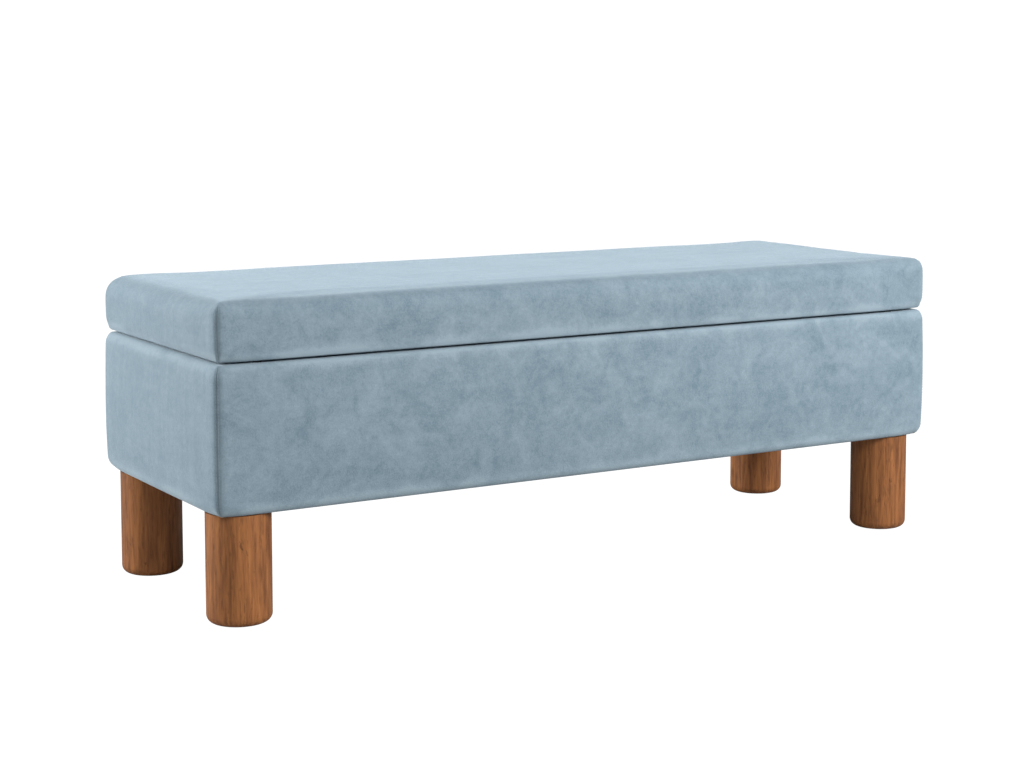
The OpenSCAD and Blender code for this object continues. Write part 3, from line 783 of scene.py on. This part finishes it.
def floor_cloth():
    """Lining on the box's floor, cut out round the corner blocks."""
    lo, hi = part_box("floor_lining")
    block_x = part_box("front_lining")[1].x
    block_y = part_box("left_lining")[1].y
    us = spaced(lo.x, hi.x, CLOTH_STEP, extra=(-block_x, block_x))
    vs = spaced(lo.y, hi.y, CLOTH_STEP, extra=(-block_y, block_y))

    def place(u, v, face):
        free = edge_nearness(u, v, us, vs, 40 * MM)
        return (u, v, hi.z + free * ripple(u, v, 7.0, 0.12, 0.6 * MM) if face else lo.z)

    def kept(u, v):
        return abs(u) < block_x or abs(v) < block_y

    obj = cloth_slab("floor_lining_cloth", us, vs, place, kept)
    face_outward(obj)
    settle(obj, "box", "lining", "floor_lining")
    return obj


def lid_cloth():
    """Lining under the lid with its turned-in edge, stapled to the board."""
    lo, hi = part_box("lid_lining")
    us = spaced(lo.x, hi.x, CLOTH_STEP, extra=(lo.x + 2 * MM, hi.x - 2 * MM))
    vs = spaced(lo.y, hi.y, CLOTH_STEP, extra=(lo.y + 2 * MM, hi.y - 2 * MM))

    def place(u, v, face):
        free = edge_nearness(u, v, us, vs, 60 * MM)
        edge = min(u - lo.x, hi.x - u, v - lo.y, hi.y - v)
        turned = 0.15 * MM * float(smoothstep(8 * MM, 9 * MM, edge))
        slack = free * (0.8 * MM + ripple(u, v, 4.0, 0.14, 0.7 * MM))
        return (u, v, hi.z if face else lo.z + turned - slack)

    obj = cloth_slab("lid_lining_cloth", us, vs, place)
    face_outward(obj)
    settle(obj, "lid", "lining", "lid_lining")
    return obj


LEGS = ("front_left_leg", "front_right_leg", "rear_left_leg", "rear_right_leg")


def bottom_cloth():
    """Dust cover under the box, drooping a little between the legs."""
    lo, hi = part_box("dust_cover")
    legs = [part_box(n) for n in LEGS]
    centres = [((a.x + b.x) / 2, (a.y + b.y) / 2, (b.x - a.x) / 2) for a, b in legs]
    us = spaced(lo.x, hi.x, CLOTH_STEP)
    vs = spaced(lo.y, hi.y, CLOTH_STEP)

    def place(u, v, face):
        free = edge_nearness(u, v, us, vs, 70 * MM)
        for cx, cy, reach in centres:
            free *= float(smoothstep(reach + 4 * MM, reach + 60 * MM, math.hypot(u - cx, v - cy)))
        droop = free * (1.6 * MM + ripple(u, v, 8.0, 0.15, 0.9 * MM))
        return (u, v, (hi.z if face else lo.z) - droop)

    obj = cloth_slab("dust_cloth", us, vs, place)
    face_outward(obj)
    settle(obj, "box", "dust_cloth", "dust_cover")
    return obj


def felt_pads():
    """Felt discs let into the feet, with soft rounded rims."""
    lo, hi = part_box("leg_pads")
    height = hi.z - lo.z
    legs = [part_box(n) for n in LEGS]
    centres = [((a.x + b.x) / 2, (a.y + b.y) / 2) for a, b in legs]
    radius = hi.x - centres[1][0]
    profile = [(0.4, 0.0), (0.94, 0.0), (0.985, 0.25 * MM), (1.0, 0.8 * MM), (1.0, height), (0.4, height)]
    points, faces = [], []
    sides = 72
    for cx, cy in centres:
        start = len(points)
        for share, level in profile:
            for k in range(sides):
                turn = 2 * math.pi * k / sides
                r = share * radius
                points.append((cx + r * math.cos(turn), cy + r * math.sin(turn), level))
        chain = [[start + i * sides + k for k in range(sides)] for i in range(len(profile))]
        for a, b in zip(chain, chain[1:]):
            faces += ring_faces(a, b)
        faces.append(tuple(reversed(chain[0])))
        faces.append(tuple(chain[-1]))
    obj = add_mesh("felt_feet", points, faces)
    settle(obj, "box", "felt", "leg_pads")
    return obj


# ---------------------------------------------------------------- shader helpers


def put(tree, kind, inputs=None, **settings):
    """New node with its settings, and its inputs given values or linked."""
    node = tree.nodes.new(kind)
    for key, value in settings.items():
        setattr(node, key, value)
    for key, value in (inputs or {}).items():
        socket = node.inputs[key]
        if isinstance(value, bpy.types.NodeSocket):
            tree.links.new(value, socket)
        else:
            socket.default_value = value
    return node


def calc(tree, operation, a, b=0.0, c=0.0):
    return put(tree, "ShaderNodeMath", {0: a, 1: b, 2: c}, operation=operation).outputs[0]


def span(tree, value, low, high, to_low=0.0, to_high=1.0):
    sockets = {"Value": value, "From Min": low, "From Max": high, "To Min": to_low, "To Max": to_high}
    return put(tree, "ShaderNodeMapRange", sockets).outputs[0]


def swing(tree, value, low=0.3, high=0.7, most=0.5):
    """A value spread evenly to both sides of zero."""
    return span(tree, value, low, high, -most, most)


def clamped(tree, value):
    return put(tree, "ShaderNodeClamp", {"Value": value}).outputs[0]


def product(tree, a, b):
    return calc(tree, "MULTIPLY", a, b)


def total(tree, *terms):
    """Sum of terms, each plain or as a pair with its weight."""
    result = None
    for term in terms:
        value = product(tree, *term) if isinstance(term, tuple) else term
        result = value if result is None else calc(tree, "ADD", result, value)
    return result


def blend_colours(tree, share, first, second, mode="MIX"):
    node = put(tree, "ShaderNodeMix", {0: share, 6: first, 7: second}, data_type="RGBA", blend_type=mode)
    return node.outputs[2]


EVEN = (1.0, 1.0, 1.0)


def stretched(tree, scale=EVEN):
    """Object coordinates, scaled along each axis."""
    place = put(tree, "ShaderNodeTexCoord").outputs["Object"]
    return put(tree, "ShaderNodeVectorMath", {0: place, 1: scale}, operation="MULTIPLY").outputs[0]


def grainy(tree, vector, scale, detail=2.0, roughness=0.5, distortion=0.0):
    labels = ("Vector", "Scale", "Detail", "Roughness", "Distortion")
    sockets = dict(zip(labels, (vector, scale, detail, roughness, distortion)))
    return put(tree, "ShaderNodeTexNoise", sockets).outputs[0]


def new_group(name, inputs, outputs):
    """Shader node group with named sockets; returns the tree, its inputs and its output node."""
    tree = bpy.data.node_groups.new(name, "ShaderNodeTree")
    for label, kind, value in inputs:
        socket = tree.interface.new_socket(label, in_out="INPUT", socket_type=kind)
        socket.default_value = value
    for label, kind in outputs:
        tree.interface.new_socket(label, in_out="OUTPUT", socket_type=kind)
    return tree, tree.nodes.new("NodeGroupInput").outputs, tree.nodes.new("NodeGroupOutput")


NUMBER = "NodeSocketFloat"
COLOUR = "NodeSocketColor"
VECTOR = "NodeSocketVector"
SURFACE = [("Colour", COLOUR), ("Roughness", NUMBER), ("Height", NUMBER)]
CUT_FOAM_SIZE = 900.0


def grey(value):
    return (value, value, value, 1)


def give(tree, result, colour, rough, height):
    tree.links.new(colour, result.inputs["Colour"])
    tree.links.new(rough, result.inputs["Roughness"])
    tree.links.new(height, result.inputs["Height"])


def pile_group():
    """Velvet pile: brushed clouds, blotches and fine grain between a deep and a pale tone, and a painted
    highlight input that turns it paler.
    """
    inputs = [
        ("Deep", COLOUR, grey(0.1)),
        ("Pale", COLOUR, grey(0.2)),
        ("Clouds", NUMBER, 0.5),
        ("Grain", NUMBER, 0.3),
        ("Painted Highlight", NUMBER, 0.0),
    ]
    tree, given, result = new_group("velvet_pile", inputs, SURFACE)
    even = stretched(tree)
    brushed = stretched(tree, (9.0, 9.0, 46.0))
    combed = stretched(tree, (4.0, 75.0, 5.0))
    cloud = swing(tree, grainy(tree, even, 19.0, 3.0, 0.6, 0.9), 0.32, 0.68)
    patch = swing(tree, grainy(tree, even, 38.0, 3.0, 0.65, 1.4), 0.36, 0.64)
    turned = put(tree, "ShaderNodeTexCoord").outputs["Normal"]
    faces_front = calc(tree, "ABSOLUTE", put(tree, "ShaderNodeSeparateXYZ", {0: turned}).outputs[1])
    rubbed = span(tree, faces_front, 0.0, 1.0, 0.3, 1.0)
    streak = swing(tree, grainy(tree, brushed, 1.0, 2.0, 0.6))
    comb = swing(tree, grainy(tree, combed, 1.0, 3.0, 0.6, 0.3))
    blotch = swing(tree, grainy(tree, even, 110.0, 2.0, 0.6))
    fine = swing(tree, grainy(tree, even, 420.0, 2.0, 0.7), 0.25, 0.75)
    fibre = grainy(tree, even, 2600.0, 2.0, 0.6)
    slow = product(tree, total(tree, (cloud, 0.68), (patch, 0.26)), rubbed)
    slow = product(tree, total(tree, slow, (streak, 0.28), (comb, 0.3)), given["Clouds"])
    quick = product(tree, total(tree, (blotch, 0.5), fine), given["Grain"])
    # painted highlight: the highlight input pushes the pile towards its pale tone
    share = clamped(tree, total(tree, slow, quick, 0.45, (given["Painted Highlight"], 0.7)))
    colour = blend_colours(tree, share, given["Deep"], given["Pale"])
    rough = span(tree, share, 0.0, 1.0, 0.92, 0.7)
    give(tree, result, colour, rough, total(tree, (fibre, 0.5), (fine, 0.5), (blotch, 0.25)))
    return tree


def weave_group():
    """Plain weave in the plane that the cloth lies in, with slubs."""
    inputs = [
        ("Warp", COLOUR, grey(0.1)),
        ("Weft", COLOUR, grey(0.2)),
        ("Threads", NUMBER, 900.0),
        ("Slubs", NUMBER, 0.3),
    ]
    tree, given, result = new_group("plain_weave", inputs, SURFACE)
    place = put(tree, "ShaderNodeSeparateXYZ", {0: stretched(tree)}).outputs
    facing_node = put(tree, "ShaderNodeTexCoord").outputs["Normal"]
    facing_node = put(tree, "ShaderNodeVectorMath", {0: facing_node}, operation="ABSOLUTE").outputs[0]
    facing = put(tree, "ShaderNodeSeparateXYZ", {0: facing_node}).outputs
    waves = []
    for axis, start in ((0, 0.0), (2, 1.57)):
        turned = calc(tree, "GREATER_THAN", facing[axis], 0.6)
        sockets = {0: turned, 2: place[axis], 3: place[1]}
        value = put(tree, "ShaderNodeMix", sockets, data_type="FLOAT").outputs[0]
        waves.append(calc(tree, "SINE", total(tree, product(tree, value, given["Threads"]), start)))
    crossing = span(tree, product(tree, *waves), -1.0, 1.0)
    ridge = total(tree, *(calc(tree, "ABSOLUTE", wave) for wave in waves))
    slub = grainy(tree, stretched(tree, (60.0, 60.0, 420.0)), 1.0, 2.0)
    worn = grainy(tree, stretched(tree), 16.0, 3.0, 0.55)
    fading = span(tree, worn, 0.3, 0.7, -0.15, 0.25)
    tone = total(tree, (crossing, 0.5), 0.1, (slub, given["Slubs"]), fading)
    colour = blend_colours(tree, clamped(tree, tone), given["Warp"], given["Weft"])
    rough = span(tree, worn, 0.3, 0.7, 0.82, 0.96)
    give(tree, result, colour, rough, total(tree, (crossing, 0.5), (ridge, 0.25)))
    return tree


def grain_group():
    """Wood: streaked growth lines, dark pores, checks and knots along a stretched axis."""
    inputs = [
        ("Light", COLOUR, (0.4, 0.2, 0.1, 1)),
        ("Dark", COLOUR, (0.2, 0.1, 0.05, 1)),
        ("Crack", COLOUR, (0.03, 0.015, 0.01, 1)),
        ("Along", VECTOR, (1.0, 1.0, 0.1)),
        ("Checks", NUMBER, 0.6),
        ("Knots", NUMBER, 0.5),
    ]
    tree, given, result = new_group("wood_grain", inputs, SURFACE)
    along = stretched(tree, given["Along"])
    band = grainy(tree, along, 34.0, 4.0, 0.6, 0.6)
    broad = grainy(tree, along, 11.0, 2.0, 0.5, 0.4)
    pore = grainy(tree, along, 210.0, 3.0, 0.65)
    shorter = {0: along, 1: (1.0, 1.0, 3.2)}
    short = put(tree, "ShaderNodeVectorMath", shorter, operation="MULTIPLY").outputs[0]
    check = grainy(tree, short, 78.0, 3.0, 0.6, 1.0)
    dash = grainy(tree, short, 170.0, 2.0, 0.6, 0.3)
    cells = {"Vector": stretched(tree, (1.0, 1.0, 0.55)), "Scale": 24.0}
    knot_place = put(tree, "ShaderNodeTexVoronoi", cells)
    knot = span(tree, knot_place.outputs["Distance"], 0.05, 0.26, 1.0, 0.0)
    rare = span(tree, grainy(tree, stretched(tree), 17.0, 1.0), 0.55, 0.68)
    knot = product(tree, product(tree, knot, rare), given["Knots"])
    growth = (span(tree, band, 0.32, 0.7, 0.0, 0.6), span(tree, broad, 0.3, 0.7, 0.0, 0.35))
    tone = clamped(tree, total(tree, *growth, swing(tree, pore, 0.35, 0.65, 0.27)))
    colour = blend_colours(tree, tone, given["Dark"], given["Light"])
    slit = total(tree, span(tree, check, 0.66, 0.74), span(tree, dash, 0.58, 0.7, 0.0, 0.6))
    dark = clamped(tree, total(tree, (slit, given["Checks"]), knot))
    colour = blend_colours(tree, dark, colour, given["Crack"])
    rough = total(tree, span(tree, tone, 0.0, 1.0, 0.62, 0.44), (dark, 0.3))
    give(tree, result, colour, rough, calc(tree, "SUBTRACT", product(tree, tone, 0.4), dark))
    return tree


def metal_group():
    """Plated or rolled steel: cloudy tarnish, fine scratches and dull spots."""
    inputs = [
        ("Bright", COLOUR, grey(0.6)),
        ("Dull", COLOUR, grey(0.3)),
        ("Brushing", VECTOR, EVEN),
        ("Polish", NUMBER, 0.5),
    ]
    tree, given, result = new_group("worn_steel", inputs, SURFACE)
    scratch = grainy(tree, stretched(tree, given["Brushing"]), 900.0, 3.0, 0.7)
    tarnish = grainy(tree, stretched(tree), 130.0, 4.0, 0.6, 0.4)
    spot = span(tree, grainy(tree, stretched(tree), 420.0, 2.0), 0.6, 0.72)
    tone = total(tree, span(tree, tarnish, 0.3, 0.7, 0.1, 0.9), swing(tree, scratch, most=0.2))
    tone = clamped(tree, calc(tree, "SUBTRACT", tone, product(tree, spot, 0.5)))
    colour = blend_colours(tree, tone, given["Dull"], given["Bright"])
    dullness = span(tree, tone, 0.0, 1.0, 0.75, 0.5)
    rough = calc(tree, "SUBTRACT", dullness, product(tree, given["Polish"], 0.25))
    give(tree, result, colour, rough, scratch)
    return tree


def felted_group():
    """Pressed fibres or moulded grain: matted noise at two sizes."""
    inputs = [
        ("Deep", COLOUR, grey(0.1)),
        ("Pale", COLOUR, grey(0.2)),
        ("Fibre Size", NUMBER, CUT_FOAM_SIZE),
    ]
    tree, given, result = new_group("matted_fibres", inputs, SURFACE)
    place = stretched(tree)
    fibres = grainy(tree, place, given["Fibre Size"], 3.0, 0.7, 1.5)
    patches = grainy(tree, place, 70.0, 3.0, 0.6)
    tones = (span(tree, fibres, 0.3, 0.7, 0.0, 0.7), span(tree, patches, 0.3, 0.7, 0.0, 0.4))
    colour = blend_colours(tree, clamped(tree, total(tree, *tones)), given["Deep"], given["Pale"])
    give(tree, result, colour, span(tree, patches, 0.3, 0.7, 0.8, 0.98), fibres)
    return tree


def surface_material(name, group, values, bump, **constants):
    """Material whose colour, roughness and relief come from a group; the rest is constant."""
    material = bpy.data.materials.new(name)
    material.use_nodes = True
    tree = material.node_tree
    tree.nodes.clear()
    node = put(tree, "ShaderNodeGroup", node_tree=group)
    for label, value in values.items():
        node.inputs[label].default_value = value
    raised = {"Height": node.outputs["Height"], "Distance": bump, "Strength": 1.0}
    relief = put(tree, "ShaderNodeBump", raised).outputs[0]
    sockets = {"Base Color": node.outputs["Colour"], "Roughness": node.outputs["Roughness"]}
    shader = put(tree, "ShaderNodeBsdfPrincipled", {**sockets, "Normal": relief})
    for label, value in constants.items():
        shader.inputs[label.replace("_", " ")].default_value = value
    put(tree, "ShaderNodeOutputMaterial", {"Surface": shader.outputs[0]})
    return material


def velvet_material(group):
    """Blue-grey velvet: a deep pile with a soft sheen, and a painted highlight that makes it paler along
    the covers' rolled edges.
    """
    values = {
        "Deep": (0.125, 0.18, 0.22, 1),
        "Pale": (0.235, 0.303, 0.348, 1),
        "Clouds": 0.62,
        "Grain": 0.42,
    }
    sheen = {"Sheen_Weight": 0.37, "Sheen_Roughness": 0.42, "Sheen_Tint": (0.74, 0.89, 1.0, 1)}
    name = "blue_grey_velvet"
    material = surface_material(name, group, values, 0.35 * MM, Specular_IOR_Level=0.15, **sheen)
    tree = material.node_tree
    # painted highlight: the mark along the covers' rolled edges feeds the pile's highlight input
    painted_highlight = put(tree, "ShaderNodeAttribute", attribute_name="painted_highlight")
    node = next(n for n in tree.nodes if n.type == "GROUP")
    tree.links.new(painted_highlight.outputs["Fac"], node.inputs["Painted Highlight"])
    return material


WOOD = ("Light", "Dark", "Along", "Checks", "Knots")
CLOTH = ("Warp", "Weft", "Threads", "Slubs")
FIBRE = ("Deep", "Pale", "Fibre Size")
STEEL = ("Bright", "Dull", "Brushing", "Polish")


def make_finishes():
    """One finish for each material slot of the record, and the thread."""
    pile = pile_group()
    weave = weave_group()
    grain = grain_group()
    metal = metal_group()
    felted = felted_group()
    finishes = {"velvet": velvet_material(pile)}

    def finish(slot, name, group, labels, values, bump, **constants):
        given = dict(zip(labels, values))
        finishes[slot] = surface_material(name, group, given, bump * MM, **constants)

    stain = ((0.37, 0.145, 0.046, 1), (0.112, 0.038, 0.013, 1), (1.0, 1.0, 0.075), 0.5, 0.8)
    stain += ((0.022, 0.009, 0.005, 1),)
    birch = ((0.62, 0.45, 0.27, 1), (0.45, 0.3, 0.16, 1), (0.06, 0.8, 0.8), 0.15, 0.25)
    pine = ((0.66, 0.47, 0.26, 1), (0.48, 0.29, 0.13, 1), (0.9, 0.9, 0.08), 0.1, 0.5)
    foam = ((0.5, 0.44, 0.3, 1), (0.7, 0.64, 0.47, 1), CUT_FOAM_SIZE)
    wadding = (grey(0.6), grey(0.8), 500.0)
    cotton = ((0.055, 0.058, 0.062, 1), (0.11, 0.115, 0.12, 1), 4200.0, 0.3)
    dust = ((0.012, 0.012, 0.013, 1), (0.04, 0.04, 0.042, 1), 3000.0, 0.2)
    felt = ((0.06, 0.055, 0.05, 1), (0.15, 0.14, 0.13, 1), 1300.0)
    rubber = (grey(0.012), grey(0.035), 2400.0)
    nickel = ((0.66, 0.64, 0.6, 1), (0.4, 0.38, 0.35, 1), (0.05, 1, 1), 0.7)
    rolled = (grey(0.6), (0.33, 0.33, 0.34, 1), (1, 1, 0.06), 0.4)
    zinc = ((0.7, 0.7, 0.72, 1), (0.42, 0.42, 0.45, 1), (0.4, 1, 1), 0.5)
    thread = ((0.15, 0.20, 0.235, 1), (0.25, 0.315, 0.36, 1), 9000.0, 0.2)
    finish("leg_wood", "stained_leg_wood", grain, (*WOOD, "Crack"), stain, 0.5, Specular_IOR_Level=0.22)
    finish("plywood", "birch_plywood", grain, WOOD, birch, 0.2)
    finish("block_wood", "pine_block", grain, WOOD, pine, 0.25)
    finish("foam", "cut_foam", felted, FIBRE, foam, 0.6)
    finish("wadding", "polyester_wadding", felted, FIBRE, wadding, 0.8)
    finish("lining", "charcoal_lining", weave, CLOTH, cotton, 0.12, Sheen_Weight=0.15)
    finish("dust_cloth", "black_dust_cloth", weave, CLOTH, dust, 0.1, Sheen_Weight=0.1)
    finish("felt", "grey_felt", felted, FIBRE, felt, 0.5, Sheen_Weight=0.3)
    finish("rubber", "soft_rubber", felted, FIBRE, rubber, 0.05)
    finish("hinge_steel", "nickelled_hinge", metal, STEEL, nickel, 0.02, Metallic=1.0)
    finish("stay_steel", "rolled_stay_steel", metal, STEEL, rolled, 0.03, Metallic=1.0)
    finish("zinc", "zinc_plate", metal, STEEL, zinc, 0.02, Metallic=1.0)
    finish("thread", "seam_thread", weave, CLOTH, thread, 0.08, Sheen_Weight=0.3)
    return finishes


def dress(finishes, soft_pieces, stitch_pieces):
    """Gives every CAD node and every piece its finish."""
    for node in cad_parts:
        for place in bpy.data.objects[node].material_slots:
            place.material = finishes[place.material.name]
    for obj, slot_name in soft_pieces:
        obj.data.materials.append(finishes[slot_name])
    for obj in stitch_pieces:
        obj.data.materials.append(finishes["thread"])


def paint_edge_highlight(obj, levels, reach):
    """Paints a highlight on the pile along the rolled edges of a cover. The paler bands stand in for
    sheen, and at the bottom edge for light thrown up from the floor.
    """
    mesh = obj.data
    mark = mesh.attributes.new("painted_highlight", "FLOAT", "POINT")
    values = []
    for v in mesh.vertices:
        near = max(math.exp(-(((v.co.z - level) / reach) ** 2)) for level in levels)
        cloud = 0.6 + 0.8 * noise.noise(Vector((v.co.x / 0.05, v.co.y / 0.05, v.co.z / 0.02)))
        values.append(near * max(0.0, cloud))
    mark.data.foreach_set("value", values)


# ---------------------------------------------------------------- the studio

FLOOR_SIZE = 14.0
FLOOR_TONE = 0.42  # how much light the floor throws back
FLOOR_GLOW = 0.82  # how much of what the camera sees of the floor is plain white
SHOWN_WHITE = 1.25  # strength of the white that the camera sees
SKY_LIGHT = 0.25  # strength of the light that the surround gives
CAMERA_PLACE = (-1.6484, -2.7246, 0.7548)
CAMERA_YAW = 31.415
CAMERA_PITCH = 5.345
CAMERA_LENS = 71.65
CAMERA_SHIFT = (-0.0281, -0.12)


def studio_floor():
    count = 28
    places = np.linspace(-FLOOR_SIZE / 2, FLOOR_SIZE / 2, count + 1)
    points = [(x, y, 0.0) for y in places for x in places]
    faces = []
    for j in range(count):
        for i in range(count):
            k = j * (count + 1) + i
            faces.append((k, k + 1, k + count + 2, k + count + 1))
    floor = add_mesh("studio_floor", points, faces, smooth=False)
    floor.data.materials.append(floor_material())


def floor_material():
    """Pale floor that shows white with faint shadows and throws only a little light back."""
    material = bpy.data.materials.new("pale_floor")
    material.use_nodes = True
    tree = material.node_tree
    tree.nodes.clear()
    plain = put(tree, "ShaderNodeBsdfDiffuse", {"Color": grey(FLOOR_TONE)})
    glow = put(tree, "ShaderNodeEmission", {"Color": grey(1), "Strength": SHOWN_WHITE})
    seen = put(tree, "ShaderNodeMixShader", {0: FLOOR_GLOW, 1: plain.outputs[0], 2: glow.outputs[0]})
    path = put(tree, "ShaderNodeLightPath")
    shown = {0: path.outputs["Is Camera Ray"], 1: plain.outputs[0], 2: seen.outputs[0]}
    both = put(tree, "ShaderNodeMixShader", shown)
    put(tree, "ShaderNodeOutputMaterial", {"Surface": both.outputs[0]})
    return material


def studio_sky():
    """White surround, with a softer light of its own than it shows."""
    world = bpy.data.worlds.new("studio")
    scene.world = world
    world.use_nodes = True
    tree = world.node_tree
    tree.nodes.clear()
    seen = put(tree, "ShaderNodeBackground", {"Color": grey(1), "Strength": SHOWN_WHITE})
    light = put(tree, "ShaderNodeBackground", {"Color": (0.95, 0.98, 1.0, 1), "Strength": SKY_LIGHT})
    path = put(tree, "ShaderNodeLightPath")
    shown = {0: path.outputs["Is Camera Ray"], 1: light.outputs[0], 2: seen.outputs[0]}
    mix = put(tree, "ShaderNodeMixShader", shown)
    put(tree, "ShaderNodeOutputWorld", {"Surface": mix.outputs[0]})


def soft_light(name, place, target, size, power, colour=(1, 1, 1)):
    data = bpy.data.lights.new(name, "AREA")
    data.shape = "RECTANGLE"
    data.size, data.size_y = size
    data.energy = power
    data.color = colour
    obj = bpy.data.objects.new(name, data)
    obj.location = place
    obj.rotation_euler = (Vector(target) - Vector(place)).to_track_quat("-Z", "Y").to_euler()
    scene.collection.objects.link(obj)


LIGHTS = (  # name, place, what it points at, size, power
    ("overhead", (0.0, 0.2, 2.6), (0, 0, 0.3), (3.4, 2.4), 11),
    ("left_fill", (-3.0, 1.9, 1.5), (-0.5, 0.1, 0.35), (1.4, 1.4), 165),
    ("front_right_key", (1.8, -2.4, 1.7), (0.35, 0, 0.3), (1.2, 1.2), 116),
    ("front_fill", (-0.9, -2.8, 2.0), (0, 0, 0.25), (1.8, 1.0), 38),
)


def studio_lights():
    for light in LIGHTS:
        soft_light(*light)


def studio_camera():
    data = bpy.data.cameras.new("camera")
    data.lens = CAMERA_LENS
    data.shift_x, data.shift_y = CAMERA_SHIFT
    data.clip_start = 0.01
    obj = bpy.data.objects.new("camera", data)
    obj.location = CAMERA_PLACE
    obj.rotation_euler = Euler((math.radians(90 - CAMERA_PITCH), 0, math.radians(-CAMERA_YAW)))
    scene.collection.objects.link(obj)
    scene.camera = obj


# ---------------------------------------------------------------- putting it together


STITCH_START = 11 * MM  # from a cover's lower edge to its lowest stitch
LID_STITCH_END = 16 * MM
BOX_STITCH_END = 10 * MM


def build():
    studio_camera()
    lid = lid_velvet()
    panels = box_velvets()
    # painted highlight: paler pile along the lid's lower edge and along the box's lower and upper edges
    paint_edge_highlight(lid, [LID_LO.z + 6 * MM], 8 * MM)
    for panel in panels:
        paint_edge_highlight(panel, [BOX_LO.z + 7 * MM, BOX_HI.z - 3 * MM], 9 * MM)
    for obj in [lid, *panels]:
        face_outward(obj)
    lid_span = (LID_LO.z + STITCH_START, LID_HI.z - LID_STITCH_END)
    box_span = (BOX_LO.z + STITCH_START, BOX_HI.z - BOX_STITCH_END)
    lid_seams = seam_stitches("lid_stitching", "lid", [lid], *lid_span)
    box_seams = seam_stitches("box_stitching", "box", panels, *box_span)
    face_outward(lid_seams)
    face_outward(box_seams)
    soft = [(lid, "velvet")] + [(p, "velvet") for p in panels]
    stay_spots = [(v, z, 24 * MM) for v, z in stay_plate_places()]
    soft.append((wall_lining("front_lining", 0, -1), "lining"))
    soft.append((wall_lining("rear_lining", 0, 1), "lining"))
    soft.append((wall_lining("left_lining", 1, -1, stay_spots), "lining"))
    soft.append((wall_lining("right_lining", 1, 1, stay_spots), "lining"))
    soft.append((floor_cloth(), "lining"))
    soft.append((lid_cloth(), "lining"))
    soft.append((bottom_cloth(), "dust_cloth"))
    soft.append((felt_pads(), "felt"))
    dress(make_finishes(), soft, [lid_seams, box_seams])
    studio_floor()
    studio_sky()
    studio_lights()
    scene.view_settings.view_transform = "Standard"


def stay_plate_places():
    """Middle of each stay's wall plate, along the end wall and up."""
    lo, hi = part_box("left_stay_stud")
    return [((lo.y + hi.y) / 2, (lo.z + hi.z) / 2)]


build()
